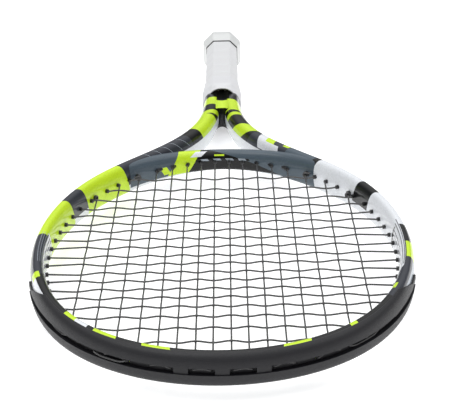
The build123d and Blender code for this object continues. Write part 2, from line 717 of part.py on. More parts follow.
def woven(places, rise, signs, bend_at, ends):
    """Bends of a run over its crossings, at the heights that its sign gives."""
    bends = []
    for k, place in enumerate(places):
        before = place - (places[k - 1] if k else ends[0])
        after = (places[k + 1] if k + 1 < len(places) else ends[1]) - place
        bends.append((bend_at(place, signs[k] * wave_top(rise, before, after)), WAVE_BEND))
    return bends


def main_run(number, throat, tip):
    """Bends of a main string from its throat mouth to its tip mouth, over the crosses."""
    low, high = -throat.mouth.Y, -tip.mouth.Y
    met = [k for k, s in enumerate(CROSS_S) if low + 1 < s < high - 1]
    return woven([CROSS_S[k] for k in met], MAIN_WAVE, [-crosses_over(number, k) for k in met],
                 lambda s, up: Vector(throat.mouth.X, -s, up), (low, high))


def cross_run(index, hole):
    """Bends of a cross string from the -X side to the +X side."""
    places = [-x for x in reversed(MAIN_X)] + MAIN_X
    met = [k for k, x in enumerate(places) if abs(x) < hole.mouth.X - 1]
    return woven([places[k] for k in met], CROSS_WAVE, [crosses_over(k, index) for k in met],
                 lambda x, up: Vector(x, -CROSS_S[index], up), (-hole.mouth.X, hole.mouth.X))


def knot(hole, up, towards):
    """A tied end: wound round the string that shares the hole and heads for a point."""
    centre = hole.mouth - UP * up
    along = (towards - centre).normalized()
    aside = along.cross(UP).normalized()
    wound = STRING_DIAMETER + KNOT_SLACK
    reach = wound / math.cos(math.pi / KNOT_CORNERS)
    pitch = STRING_DIAMETER + KNOT_SLACK
    bends = []
    for step in range(round(KNOT_TURNS * KNOT_CORNERS) + 1):
        angle = 2 * math.pi * step / KNOT_CORNERS
        advance = KNOT_START + pitch * step / KNOT_CORNERS
        offset = UP * math.cos(angle) * math.copysign(reach, up) + aside * math.sin(angle) * reach
        bends.append((centre + along * advance + offset, wound))
    away = aside * math.cos(angle) + along * KNOT_TAIL_LEAN
    tail = bends[-1][0] + away.normalized() * KNOT_TAIL
    return bends + [(tail, GROMMET_BEND)]


def main_seat(index, hole):
    """Height of a main string in its hole: beside the other string where two share it."""
    if not hole.shared:
        return 0.0
    return SHARED_SIDE if index == TIE_MAIN else -SHARED_SIDE


def main_half(side, tips, throats):
    """Bends of the main string on one side, from the first throat hole to the knot."""
    bends = []
    for index, (tip, throat) in enumerate(zip(tips, throats)):
        number = len(MAIN_X) + index if side > 0 else len(MAIN_X) - 1 - index
        run = main_run(number, throat, tip)
        up_throat = through(throat, up=main_seat(index, throat))
        up_tip = through(tip, up=main_seat(index, tip))
        if index % 2 == 0:
            bends += up_throat[::-1] + run + up_tip
        else:
            bends += up_tip[::-1] + run[::-1] + up_throat
        if index + 1 < len(tips):
            ends = (tips if index % 2 == 0 else throats)[index:index + 2]
            bends += groove_bends(ends[0].in_bridge, ends[0].place, ends[1].place, 0, LOOP_SIDE)
    last, tie = throats[-1], throats[TIE_MAIN]
    bends[-1] = (last.exit(1, main_seat(len(throats) - 1, last)), GROMMET_BEND)
    bends += groove_bends(False, last.place, tie.place, 1, -LOOP_SIDE)
    number = len(MAIN_X) + TIE_MAIN if side > 0 else len(MAIN_X) - 1 - TIE_MAIN
    beside = main_run(number, tie, tips[TIE_MAIN])
    bends += through(tie, 1, -SHARED_SIDE)[::-1] + knot(tie, -SHARED_SIDE, beside[0][0])
    return [(Vector(side * point.X, point.Y, point.Z), radius) for point, radius in bends]


def make_main_string(tips, throats):
    """The one main string: up and down through every pair of holes, tied at both ends."""
    middle = groove_bends(True, 180 - throats[0].place, throats[0].place, 0, LOOP_SIDE)
    return main_half(-1, tips, throats)[::-1] + middle + main_half(1, tips, throats)


def make_cross_string(rights, tips, throats):
    """The one cross string, woven from the tip to the throat and tied at both ends."""
    tip_tie, throat_tie = mirrored(tips[TIP_TIE_MAIN]), throats[-1]
    number = len(MAIN_X) - 1 - TIP_TIE_MAIN
    beside_first = main_run(number, mirrored(throats[TIP_TIE_MAIN]), tip_tie)
    beside_last = main_run(2 * len(MAIN_X) - 1, throat_tie, tips[-1])
    bends = []
    side = 1
    for index in reversed(range(len(rights))):
        right = rights[index]
        run = through(mirrored(right))[::-1] + cross_run(index, right) + through(right)
        bends += run[::side]
        if index:
            low, high = sorted((right.place, rights[index - 1].place))
            clear = SHARED_SIDE if low < throat_tie.place < high else 0
            bends += groove_bends(False, side * right.place, side * rights[index - 1].place,
                                  0, -LOOP_SIDE - clear)
        side = -side
    first, last = mirrored(rights[-1]), rights[0]
    bends[0] = (first.exit(1), GROMMET_BEND)
    bends[-1] = (last.exit(1), GROMMET_BEND)
    opening = knot(tip_tie, SHARED_SIDE, beside_first[-1][0])[::-1]
    opening += through(tip_tie, 1, SHARED_SIDE)
    opening += groove_bends(False, tip_tie.place, first.place, 1, -LOOP_SIDE)
    closing = groove_bends(False, last.place, throat_tie.place, 1, LOOP_SIDE)
    closing += through(throat_tie, 1, SHARED_SIDE)[::-1]
    return opening + bends + closing + knot(throat_tie, SHARED_SIDE, beside_last[0][0])


# ---------------------------------------------------------------- handle pieces
def octagon(s, width, height, bevel):
    """Eight-sided outline across the handle at a distance s from the butt face."""
    x, z = width / 2, height / 2
    corners = [(x, z - bevel), (x - bevel, z), (bevel - x, z), (-x, z - bevel),
               (-x, bevel - z), (bevel - x, -z), (x - bevel, -z), (x, bevel - z)]
    return ring([Vector(across, -s, up) for across, up in corners])


def eight_sided(stations):
    """Ruled loft through octagons, given as (s, width, height, bevel)."""
    return Solid.make_loft([octagon(*station) for station in stations], ruled=True)


def grip_octagon(inset):
    """Width, height and bevel of the grip's octagon, inset on every flat."""
    return (GRIP_WIDTH - 2 * inset, GRIP_HEIGHT - 2 * inset,
            GRIP_BEVEL - inset * (2 - math.sqrt(2)))


def make_foam(tube, web):
    """Foam moulded over the hairpin's legs: it gives the handle its eight flats."""
    in_sleeve = grip_octagon(GRIP_INSIDE)
    in_grip = grip_octagon(GRIP_THICKNESS)
    body = eight_sided([(CAP_FLOOR, *in_sleeve), (CAP_SLEEVE_S, *in_sleeve)])
    body = body.fuse(eight_sided([(CAP_SLEEVE_S, *in_grip), (GRIP_END_S, *in_grip)]))
    return body.cut(tube, web, *staples(), tack())


def make_butt_cap():
    width, height = GRIP_WIDTH + 2 * CAP_FLARE_X, GRIP_HEIGHT + 2 * CAP_FLARE_Z
    flare = (width, height, CAP_BEVEL)
    face = (width - 2 * CAP_RIM, height - 2 * CAP_RIM, CAP_BEVEL - CAP_RIM / 2)
    outside = eight_sided([(0, *face), (CAP_RIM, *flare), (CAP_FULL_S, *flare),
                           (GRIP_START_S, *grip_octagon(0))])
    sleeve = grip_octagon(GRIP_THICKNESS)
    inside = grip_octagon(GRIP_INSIDE)
    body = outside.fuse(eight_sided([(GRIP_START_S, *sleeve), (CAP_SLEEVE_S, *sleeve)]))
    body = body.cut(eight_sided([(CAP_FLOOR, *inside), (CAP_SLEEVE_S + THROUGH, *inside)]))
    return body.cut(*staples(), tack())


def wire_staple(crown, leg, wire):
    """A staple with its crown along X, its back at z = 0 and its legs downward."""
    bar = Solid.make_box(crown, wire, wire).moved(Location((-crown / 2, -wire / 2, -wire)))
    legs = []
    for x in (-crown / 2, crown / 2 - wire):
        post = Solid.make_box(wire, wire, leg)
        legs.append(post.moved(Location((x, -wire / 2, -leg))))
    return bar.fuse(*legs)


def staples():
    """Two staples through the cap's sleeve into the foam, on the wide flats."""
    seat = GRIP_HEIGHT / 2 - GRIP_THICKNESS
    one = wire_staple(STAPLE_CROWN, STAPLE_LEG, STAPLE_WIRE).moved(Location((0, -STAPLE_S, seat)))
    return [one, one.mirror(Plane.XY)]


def tack():
    """The small staple that holds the start of the grip on one side flat."""
    seat = GRIP_WIDTH / 2 - GRIP_THICKNESS
    return wire_staple(TACK_CROWN, TACK_LEG, STAPLE_WIRE).moved(
        Location((seat, -TACK_S, 0), (0, 90, 0)))


def make_grip():
    outside = eight_sided([(GRIP_START_S, *grip_octagon(0)), (GRIP_END_S, *grip_octagon(0))])
    inner = grip_octagon(GRIP_THICKNESS)
    return outside.cut(eight_sided([(GRIP_START_S - THROUGH, *inner),
                                    (GRIP_END_S + THROUGH, *inner)]))


def make_finishing_tape():
    outer, inner = grip_octagon(-TAPE_THICKNESS), grip_octagon(0)
    body = eight_sided([(TAPE_START_S, *outer), (TAPE_END_S, *outer)])
    return body.cut(eight_sided([(TAPE_START_S - THROUGH, *inner),
                                 (TAPE_END_S + THROUGH, *inner)]))


def make_collar():
    """Rubber collar rolled over the end of the grip, open towards the hoop."""
    full = (GRIP_WIDTH + 2 * COLLAR_SWELL_X, GRIP_HEIGHT + 2 * COLLAR_SWELL_Z,
            GRIP_BEVEL + COLLAR_SWELL_BEVEL)
    rim = (GRIP_WIDTH + 2 * COLLAR_RIM_X, GRIP_HEIGHT + 2 * COLLAR_RIM_Z,
           GRIP_BEVEL + COLLAR_RIM_BEVEL)
    seat = grip_octagon(-FIT_CLEARANCE)
    start = grip_octagon(-FIT_CLEARANCE - COLLAR_EDGE)

    def inside(size):
        width, height, bevel = size
        return width - 2 * COLLAR_WALL, height - 2 * COLLAR_WALL, bevel - COLLAR_WALL / 2
    body = eight_sided([(COLLAR_START_S, *start), (COLLAR_FULL_S, *full),
                        (COLLAR_TURN_S, *full), (COLLAR_END_S, *rim)])
    hollow = eight_sided([(COLLAR_START_S - THROUGH, *seat),
                          (COLLAR_START_S + COLLAR_EDGE_RUN, *seat),
                          (COLLAR_FULL_S, *inside(full)), (COLLAR_TURN_S, *inside(full)),
                          (COLLAR_END_S, *inside(rim)),
                          (COLLAR_END_S + THROUGH, *inside(rim))])
    return body.cut(hollow)


def make_plugs():
    """Foam plugs that close the ends of the two legs."""
    plug = Solid.make_loft([hollow_outline(t) for t in (5 - PLUG_LENGTH / LEG_LENGTH, 5)])
    return [plug, plug.mirror(Plane.YZ)]


# ---------------------------------------------------------------- build
def write(name, *solids):
    shape = solids[0] if len(solids) == 1 else Compound(children=list(solids))
    export_step(shape, f"parts/{name}.step")
    print(name, [round(solid.volume) for solid in shape.solids()])


def main():
    os.makedirs("parts", exist_ok=True)
    indices = range(len(MAIN_X))
    tips = [tip_hole(index) for index in indices]
    throats = [throat_hole(index) for index in indices]
    crosses = [cross_hole(index) for index in range(len(CROSS_S))]
    tips_left = [mirrored(hole) for hole in tips]
    throats_left = [mirrored(hole) for hole in throats]
    crosses_left = [mirrored(hole) for hole in crosses]

    tube = frame_solid()
    web = yoke_web()
    everything = tips + tips_left + throats + throats_left + crosses + crosses_left
    write("frame_tube", make_frame_tube(tube, web, everything))
    write("throat_bridge", make_bridge(tube, everything))

    in_bumper = [k for k, s in enumerate(CROSS_S) if s > BUMPER_END_S]
    beside = [k for k, s in enumerate(CROSS_S) if s < BUMPER_END_S]
    bumper_holes = tips + tips_left
    bumper_holes += [crosses[k] for k in in_bumper] + [crosses_left[k] for k in in_bumper]
    write("bumper_guard", make_bumper(bumper_holes, tips))
    beside_holes = [crosses[k] for k in beside] + [hole for hole in throats if not hole.in_bridge]
    strip = make_side_strip(beside_holes)
    write("right_grommet_strip", strip)
    write("left_grommet_strip", strip.mirror(Plane.YZ))
    write("bridge_grommet_strip",
          make_bridge_strip([hole for hole in throats + throats_left if hole.in_bridge]))

    main_bends = make_main_string(tips, throats)
    cross_bends = make_cross_string(crosses, tips, throats)
    for name, bends in (("main_string", main_bends), ("cross_string", cross_bends)):
        solid, length = string_solid(bends)
        share = solid.volume / (math.pi * STRING_RADIUS ** 2 * length)
        print(name, "length", round(length), "volume over section times length", round(share, 4))
        write(name, solid)

    write("handle_foam", make_foam(tube, web))
    write("leg_plugs", *make_plugs())
    write("butt_cap", make_butt_cap())
    write("butt_cap_staples", *staples())
    write("grip_staple", tack())
    write("base_grip", make_grip())
    write("finishing_tape", make_finishing_tape())
    write("grip_collar", make_collar())


if __name__ == "__main__":
    main()
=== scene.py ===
"""Looks of a strung tennis racket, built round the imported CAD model.

The frame and bridge get a lacquered, panelled finish, the handle its wrap, cap and
collar, and the guards, grommets and strings keep their CAD meshes under new finishes.
"""

from __future__ import annotations

import logging
import math
from collections.abc import Callable, Sequence
from dataclasses import dataclass
from enum import Enum

import bmesh
import bpy
from mathutils import Matrix, Vector

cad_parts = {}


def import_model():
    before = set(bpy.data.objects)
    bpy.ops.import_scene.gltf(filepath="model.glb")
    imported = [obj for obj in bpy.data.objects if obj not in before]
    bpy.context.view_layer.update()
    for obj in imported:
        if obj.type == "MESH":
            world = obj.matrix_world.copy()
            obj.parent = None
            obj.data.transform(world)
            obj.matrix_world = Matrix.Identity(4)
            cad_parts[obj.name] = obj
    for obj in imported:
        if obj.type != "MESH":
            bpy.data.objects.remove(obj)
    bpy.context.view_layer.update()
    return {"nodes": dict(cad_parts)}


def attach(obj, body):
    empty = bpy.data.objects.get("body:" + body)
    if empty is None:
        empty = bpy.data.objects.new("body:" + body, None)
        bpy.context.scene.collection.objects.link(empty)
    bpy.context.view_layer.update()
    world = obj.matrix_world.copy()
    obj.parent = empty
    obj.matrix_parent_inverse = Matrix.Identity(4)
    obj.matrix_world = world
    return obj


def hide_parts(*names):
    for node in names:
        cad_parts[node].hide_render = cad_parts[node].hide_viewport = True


LOG = logging.getLogger("racket")
MM = 0.001
BODY = "root"
UP = Vector((0, 0, 1))
MERGE_MM = 0.01  # points closer than this are one

COAT_ROUGHNESS = 0.06
GRAIN_DETAIL = 3.0
GRAIN_ROUGHNESS = 0.6
GRAIN_RANGE = (0.3, 0.7)  # where most values of the grain's noise lie

Ring = list[Vector]
Line = Callable[[float], Vector]
Colour = tuple[float, float, float, float]
Socket = bpy.types.NodeSocket
Tree = bpy.types.NodeTree


# ---------------------------------------------------------------- colours and shader nodes
class Hue(Enum):
    """Colours of the racket and the studio, and one painted shade, as sRGB hex."""

    SLATE = "#4c5862"
    GRAPHITE = "#31343c"
    BLACK = "#0b0c0e"
    WHITE = "#dcdfe4"
    MIST = "#9aa3ad"
    LIME = "#c2e22a"
    GUARD = "#121217"
    NYLON = "#101113"
    STRING = "#434344"
    GRIP = "#cccdcf"
    CAP = "#ced0d0"
    RUBBER = "#d0d1d4"
    FOAM = "#d9d4c8"
    STEEL = "#a8abad"
    # painted shade: stands in for the shadow in the gap between the butt cap and the grip
    SEAM_SHADE = "#2c2c2c"
    FLOOR = "#ffffff"


def linear(hue: Hue) -> Colour:
    """Turn a colour's sRGB hex into the linear values that shaders use.

    Args:
        hue: The colour.

    Returns:
        Red, green, blue and an alpha of one.
    """
    digits = hue.value.lstrip("#")
    shares = [int(digits[k:k + 2], 16) / 255 for k in (0, 2, 4)]
    low, scale, lift, power = 0.04045, 12.92, 0.055, 2.4
    values = [v / scale if v <= low else ((v + lift) / (1 + lift)) ** power for v in shares]
    return values[0], values[1], values[2], 1.0


def add(tree: Tree, kind: str, inputs: dict[str | int, object] | None = None,
        **settings: object) -> bpy.types.Node:
    """Add a node with its settings, input values and links.

    Args:
        tree: The node tree that gets the node.
        kind: The node's type name.
        inputs: Value or socket for each input, by name or number.
        **settings: Attributes of the node.

    Returns:
        The new node.
    """
    node = tree.nodes.new(kind)
    for name, value in settings.items():
        setattr(node, name, value)
    for name, value in (inputs or {}).items():
        if isinstance(value, Socket):
            tree.links.new(value, node.inputs[name])
        else:
            node.inputs[name].default_value = value
    return node


def both(tree: Tree, one: Socket, other: Socket) -> Socket:
    """Join two masks into the one where both hold.

    Args:
        tree: The material's node tree.
        one: The first mask.
        other: The second mask.

    Returns:
        The joined mask.
    """
    return add(tree, "ShaderNodeMath", {0: one, 1: other},
               operation="MULTIPLY").outputs["Value"]


def within(tree: Tree, place: Socket, limits: tuple[float, float]) -> Socket:
    """Mask a place between two limits.

    Args:
        tree: The material's node tree.
        place: The place, in metres.
        limits: The low and the high limit, in millimetres.

    Returns:
        The mask.
    """
    low, high = limits
    return add(tree, "ShaderNodeMath", {
        0: place, 1: (low + high) / 2 * MM, 2: (high - low) / 2 * MM},
        operation="COMPARE").outputs["Value"]


def mixed(tree: Tree, factor: Socket, base: Socket | Colour,
          laid: Socket | Colour) -> Socket:
    """Lay one colour over another by a mask.

    Args:
        tree: The material's node tree.
        factor: The mask.
        base: The colour under it.
        laid: The colour laid on.

    Returns:
        The mixed colour's socket.
    """
    node = add(tree, "ShaderNodeMix", data_type="RGBA")
    tree.links.new(factor, node.inputs["Factor"])
    colours = [socket for socket in node.inputs if socket.type == "RGBA"]
    for socket, value in zip(colours, (base, laid)):
        if isinstance(value, Socket):
            tree.links.new(value, socket)
        else:
            socket.default_value = value
    return next(out for out in node.outputs if out.type == "RGBA")


@dataclass(frozen=True)
class Finish:
    """A plain finish: one colour, with a fine texture from how its surface was made.

    The grain's width and height are in millimetres. Beyond the last field's height up the
    handle, in millimetres, the finish is darkened with painted shade for the shadowed gap
    where the piece meets the grip; nought leaves it plain.
    """

    name: str
    hue: Hue
    roughness: float
    ior: float = 1.5
    metallic: float = 0.0
    coat: float = 0.0
    specular: float = 0.5
    glow: float = 0.0
    sheen: float = 0.0
    grain_mm: float = 0.0
    grain_height_mm: float = 0.0
    rough_spread: float = 0.0
    seam_shade_mm: float = 0.0

    def shader(self, material: bpy.types.Material) -> bpy.types.Node:
        """Give a material an empty tree with this finish's shader.

        Args:
            material: The material to fill.

        Returns:
            The Principled shader node.
        """
        material.use_nodes = True
        tree = material.node_tree
        tree.nodes.clear()
        shader = add(tree, "ShaderNodeBsdfPrincipled", {
            "Base Color": linear(self.hue), "Roughness": self.roughness, "IOR": self.ior,
            "Metallic": self.metallic, "Specular IOR Level": self.specular,
            "Coat Weight": self.coat, "Coat Roughness": COAT_ROUGHNESS,
            "Sheen Weight": self.sheen, "Emission Color": linear(self.hue),
            "Emission Strength": self.glow})
        add(tree, "ShaderNodeOutputMaterial", {"Surface": shader.outputs["BSDF"]})
        return shader

    def grain(self, tree: Tree, shader: bpy.types.Node) -> None:
        """Add the surface's grain, as bump and as uneven roughness.

        Args:
            tree: The material's node tree.
            shader: Its Principled shader.
        """
        place = add(tree, "ShaderNodeTexCoord").outputs["Object"]
        noise = add(tree, "ShaderNodeTexNoise", {
            "Vector": place, "Scale": 1 / (self.grain_mm * MM), "Detail": GRAIN_DETAIL,
            "Roughness": GRAIN_ROUGHNESS}).outputs["Fac"]
        bump = add(tree, "ShaderNodeBump", {
            "Height": noise, "Distance": self.grain_height_mm * MM, "Strength": 1.0})
        tree.links.new(bump.outputs["Normal"], shader.inputs["Normal"])
        if self.rough_spread:
            low, high = GRAIN_RANGE
            uneven = add(tree, "ShaderNodeMapRange", {
                "Value": noise, "From Min": low, "From Max": high,
                "To Min": self.roughness - self.rough_spread,
                "To Max": self.roughness + self.rough_spread})
            tree.links.new(uneven.outputs["Result"], shader.inputs["Roughness"])

    def paint_seam_shade(self, tree: Tree, shader: bpy.types.Node) -> None:
        """Darken the finish with painted shade beyond a height up the handle, for the shadowed
        gap where the piece meets the grip.

        Args:
            tree: The material's node tree.
            shader: Its Principled shader.
        """
        place = add(tree, "ShaderNodeTexCoord").outputs["Object"]
        down = add(tree, "ShaderNodeSeparateXYZ", {"Vector": place}).outputs["Y"]
        beyond = add(tree, "ShaderNodeMath", {0: down, 1: -self.seam_shade_mm * MM},
                     operation="LESS_THAN").outputs["Value"]
        # painted shade: past that height the base colour turns dark grey, standing in for the
        # gap's shadow
        tree.links.new(mixed(tree, beyond, linear(self.hue), linear(Hue.SEAM_SHADE)),
                       shader.inputs["Base Color"])

    def make(self) -> bpy.types.Material:
        """Build the material.

        Returns:
            The finished material.
        """
        material = bpy.data.materials.new(self.name)
        shader = self.shader(material)
        if self.grain_mm:
            self.grain(material.node_tree, shader)
        if self.seam_shade_mm:
            self.paint_seam_shade(material.node_tree, shader)
        return material


@dataclass(frozen=True)
class Panel:
    """A stretch of lacquer of one colour, from a place along the frame."""

    start_mm: float
    hue: Hue


@dataclass(frozen=True)
class Patch:
    """A painted patch or a run of bars, in a window along the frame and round the tube.

    Places are in millimetres. The shear slants the patch: it is how far along the frame
    it moves for each millimetre round the tube.
    """

    hue: Hue
    along: tuple[float, float]
    across: tuple[float, float]
    shear: float = 0.0
    pitch: float = 0.0
    share: float = 0.5
    lengthwise: bool = False

    def mask(self, tree: Tree, flat: bpy.types.Node) -> Socket:
        """Tell where the patch is.

        Args:
            tree: The material's node tree.
            flat: The split UV map, in metres along and round the tube.

        Returns:
            A socket that is one on the patch and zero off it.
        """
        around = flat.outputs["Y"]
        sheared = add(tree, "ShaderNodeMath", {0: around, 1: self.shear, 2: flat.outputs["X"]},
                      operation="MULTIPLY_ADD").outputs["Value"]
        shown = both(tree, within(tree, sheared, self.along),
                     within(tree, around, self.across))
        if not self.pitch:
            return shown
        turns = add(tree, "ShaderNodeMath", {
            0: around if self.lengthwise else sheared, 1: self.pitch * MM},
            operation="DIVIDE")
        part = add(tree, "ShaderNodeMath", {0: turns.outputs["Value"]}, operation="FRACT")
        bar = add(tree, "ShaderNodeMath", {0: part.outputs["Value"], 1: self.share},
                  operation="LESS_THAN")
        return both(tree, shown, bar.outputs["Value"])


@dataclass(frozen=True)
class PanelLacquer(Finish):
    """Gloss lacquer: panels along the frame, others under a parting line, and patches.

    The panels' edges slant round the tube. On a mirrored lacquer the slant turns over
    where places along the frame are negative.
    """

    hue: Hue = Hue.SLATE
    roughness: float = 0.32
    coat: float = 0.48
    specular: float = 0.1
    over: tuple[Panel, ...] = ()
    under: tuple[Panel, ...] = ()
    patches: tuple[Patch, ...] = ()
    reach_mm: float = 800.0
    parting_mm: float = -4.5
    slant: float = 0.35
    mirrored: bool = True
    flake_mm: float = 0.5
    glint: tuple[float, float] = (0.86, 1.1)

    def ramp(self, tree: Tree, along: Socket, panels: Sequence[Panel]) -> Socket:
        """Colour each stretch of the frame by its panel.

        Args:
            tree: The material's node tree.
            along: Place along the frame as a share of the ramp.
            panels: The panels in order.

        Returns:
            The colour socket.
        """
        node = add(tree, "ShaderNodeValToRGB", {"Fac": along})
        colours = node.color_ramp
        colours.interpolation = "CONSTANT"
        first, *others = panels
        colours.elements.remove(colours.elements[-1])
        colours.elements[0].position = 0.0
        colours.elements[0].color = linear(first.hue)
        for panel in others:
            share = (panel.start_mm + self.reach_mm) / (2 * self.reach_mm)
            colours.elements.new(share).color = linear(panel.hue)
        return node.outputs["Color"]

    def slanted(self, tree: Tree, flat: bpy.types.Node) -> Socket:
        """Tell how far along the ramps a place lies, with the panels' slant.

        Args:
            tree: The material's node tree.
            flat: The split UV map, in metres along and round the tube.

        Returns:
            The share of the ramps.
        """
        slant: float | Socket = self.slant
        if self.mirrored:
            side = add(tree, "ShaderNodeMath", {0: flat.outputs["X"]}, operation="SIGN")
            slant = add(tree, "ShaderNodeMath", {0: side.outputs["Value"], 1: -self.slant},
                        operation="MULTIPLY").outputs["Value"]
        place = add(tree, "ShaderNodeMath", {
            0: flat.outputs["Y"], 1: slant, 2: flat.outputs["X"]}, operation="MULTIPLY_ADD")
        return add(tree, "ShaderNodeMapRange", {
            "Value": place.outputs["Value"], "From Min": -self.reach_mm * MM,
            "From Max": self.reach_mm * MM}).outputs["Result"]

    def paint(self, tree: Tree, place: Socket) -> Socket:
        """Lay the panels and then the patches over them.

        Args:
            tree: The material's node tree.
            place: The place on the piece.

        Returns:
            The paint's colour.
        """
        laid = add(tree, "ShaderNodeUVMap", uv_map="lay").outputs["UV"]
        flat = add(tree, "ShaderNodeSeparateXYZ", {"Vector": laid})
        along = self.slanted(tree, flat)
        height = add(tree, "ShaderNodeSeparateXYZ", {"Vector": place}).outputs["Z"]
        below = add(tree, "ShaderNodeMath", {0: height, 1: self.parting_mm * MM},
                    operation="LESS_THAN").outputs["Value"]
        paint = mixed(tree, below, self.ramp(tree, along, self.over),
                      self.ramp(tree, along, self.under))
        for patch in self.patches:
            paint = mixed(tree, patch.mask(tree, flat), paint, linear(patch.hue))
        return paint

    def make(self) -> bpy.types.Material:
        """Build the lacquer.

        Returns:
            The finished material.
        """
        material = bpy.data.materials.new(self.name)
        shader = self.shader(material)
        tree = material.node_tree
        place = add(tree, "ShaderNodeTexCoord").outputs["Object"]
        # metallic flakes under the clear coat, drawn coarser than the real ones to show
        flake = add(tree, "ShaderNodeTexVoronoi", {
            "Vector": place, "Scale": 1 / (self.flake_mm * MM)})
        darkest, brightest = self.glint
        glint = add(tree, "ShaderNodeMapRange", {
            "Value": flake.outputs["Color"], "To Min": darkest, "To Max": brightest})
        shown = add(tree, "ShaderNodeVectorMath", {
            0: self.paint(tree, place), "Scale": glint.outputs["Result"]}, operation="SCALE")
        tree.links.new(shown.outputs["Vector"], shader.inputs["Base Color"])
        return material


# ---------------------------------------------------------------- plain finishes
# glass-filled nylon from a textured mould: satin black, its highlights broken up by a
# grain that is drawn coarser than the real one to show
GUARD_NYLON = Finish("moulded_nylon_guard_satin", Hue.GUARD, roughness=0.5, ior=1.45,
                     grain_mm=0.7, grain_height_mm=0.06, rough_spread=0.14)
# nylon from a smooth mould: black, with small tight highlights on each barrel
GROMMET_NYLON = Finish("moulded_nylon_grommet_black", Hue.NYLON, roughness=0.38, ior=1.53)
# drawn polyester monofilament: smooth, with a thin light line along each string
STRING_POLYESTER = Finish("extruded_polyester_string_satin", Hue.STRING, roughness=0.25)
# rigid polyurethane foam: dull and off-white
HANDLE_FOAM = Finish("moulded_polyurethane_foam", Hue.FOAM, roughness=0.85)
# bright drawn wire: narrow metal highlights
STAPLE_STEEL = Finish("drawn_steel_wire", Hue.STEEL, roughness=0.3, metallic=1.0)
# plasticised vinyl tape: smooth and slightly glossy
TAPE_VINYL = Finish("vinyl_finishing_tape", Hue.CAP, roughness=0.35)
# cushioned polyurethane film: matt, soft at its edges, with an embossed grain that is
# drawn coarser than the real one to show
GRIP_FILM = Finish("polyurethane_grip_wrap_soft", Hue.GRIP, roughness=0.62, sheen=0.15,
                   grain_mm=0.9, grain_height_mm=0.05)
# acetal from a polished mould: satin white, with painted shade for the shadowed gap where it
# meets the grip
CAP_ACETAL = Finish("moulded_cap_plastic_satin", Hue.CAP, roughness=0.38, seam_shade_mm=21.15)
# silicone rubber: smooth and softer in its highlights than the cap
COLLAR_RUBBER = Finish("moulded_silicone_rubber", Hue.RUBBER, roughness=0.48, ior=1.42)
# matt white card, lit a little from within so that no grey shows inside the hoop
FLOOR_GLOW = 0.3
FLOOR_CARD = Finish("white_studio_floor", Hue.FLOOR, roughness=0.9, glow=FLOOR_GLOW)


# ---------------------------------------------------------------- meshes
def new_piece(name: str, mesh: bmesh.types.BMesh, material: bpy.types.Material,
              sharp_degrees: float = 35.0) -> bpy.types.Object:
    """Turn a bmesh into a piece of the racket, smooth but for its sharp edges.

    Args:
        name: The piece's name.
        mesh: Its shape, which is freed.
        material: Its finish.
        sharp_degrees: Edges that turn more than this stay sharp.

    Returns:
        The new object, riding on the racket.
    """
    bmesh.ops.recalc_face_normals(mesh, faces=mesh.faces)
    for face in mesh.faces:
        face.smooth = True
    limit = math.radians(sharp_degrees)
    for edge in mesh.edges:
        if len(edge.link_faces) == 2 and edge.calc_face_angle(0.0) > limit:
            edge.smooth = False
    data = bpy.data.meshes.new(name)
    mesh.to_mesh(data)
    mesh.free()
    piece = bpy.data.objects.new(name, data)
    bpy.context.scene.collection.objects.link(piece)
    data.materials.append(material)
    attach(piece, BODY)
    return piece


def sweep(rings: Sequence[Ring], along: Sequence[float], around: Sequence[float],
          capped: bool = True) -> bmesh.types.BMesh:
    """Extrude a first ring through the others, with a UV map laid along and around.

    Args:
        rings: Points of each ring, all with as many points and in the same order.
        along: Place of each ring along the sweep, in metres, for the UV map.
        around: Place of each point round the ring, in metres.
        capped: Whether both ends are closed.

    Returns:
        The swept shape.
    """
    count = len(rings[0])
    mesh = bmesh.new()
    rank = mesh.verts.layers.int.new("rank")
    station = mesh.verts.layers.int.new("station")
    made = bmesh.ops.create_circle(mesh, segments=count, radius=1.0)
    for number, vert in enumerate(made["verts"]):
        vert[rank] = number
        vert.co = rings[0][number]
    edges = list(mesh.edges)
    for number, ring in enumerate(rings[1:], 1):
        grown = bmesh.ops.extrude_edge_only(mesh, edges=edges)["geom"]
        edges = [part for part in grown if isinstance(part, bmesh.types.BMEdge)]
        for vert in grown:
            if isinstance(vert, bmesh.types.BMVert):
                vert[station] = number
                vert.co = ring[vert[rank]]
    laid = mesh.loops.layers.uv.new("lay")
    for face in mesh.faces:
        ranks = [loop.vert[rank] for loop in face.loops]
        wraps = max(ranks) - min(ranks) > 1
        for loop in face.loops:
            turn = around[loop.vert[rank]]
            # the face that closes a ring runs on past the last point, not back to nought
            if wraps and loop.vert[rank] == 0:
                turn = around[-1] + (around[1] - around[0])
            loop[laid].uv = (along[loop.vert[station]], turn)
    if capped:
        ends = [edge for edge in mesh.edges if edge.is_boundary]
        bmesh.ops.holes_fill(mesh, edges=ends, sides=count)
    return mesh


def closed_sweep(rings: Sequence[Ring], along: Sequence[float],
                 around: Sequence[float]) -> bmesh.types.BMesh:
    """Sweep rings on to the first one again, for a shell that closes on itself.

    Args:
        rings: Points of each ring.
        along: Place of each ring along the sweep, in metres.
        around: Place of each point round the ring, in metres.

    Returns:
        The swept shape, its last ring merged with its first.
    """
    mesh = sweep([*rings, rings[0]], [*along, along[0]], around, capped=False)
    bmesh.ops.remove_doubles(mesh, verts=mesh.verts, dist=MERGE_MM * MM)
    return mesh


def walked(points: Sequence[Vector]) -> list[float]:
    """Distance walked to each point of a line, in the points' own unit.

    Args:
        points: The line's points.

    Returns:
        One distance for each point.
    """
    places = [0.0]
    for before, after in zip(points, points[1:]):
        places.append(places[-1] + (after - before).length)
    return places


def ease(value: float, low: float, high: float) -> float:
    """0 below low and 1 above high, with a smooth change between."""
    share = min(max((value - low) / (high - low), 0.0), 1.0)
    return share * share * (3 - 2 * share)


def between(start: float, end: float, share: float) -> float:
    """The value that lies a share of the way from start to end."""
    return start + (end - start) * share


def spread(low: float, high: float, count: int) -> list[float]:
    """Evenly spaced values from low to high, count steps apart."""
    return [between(low, high, step / count) for step in range(count + 1)]


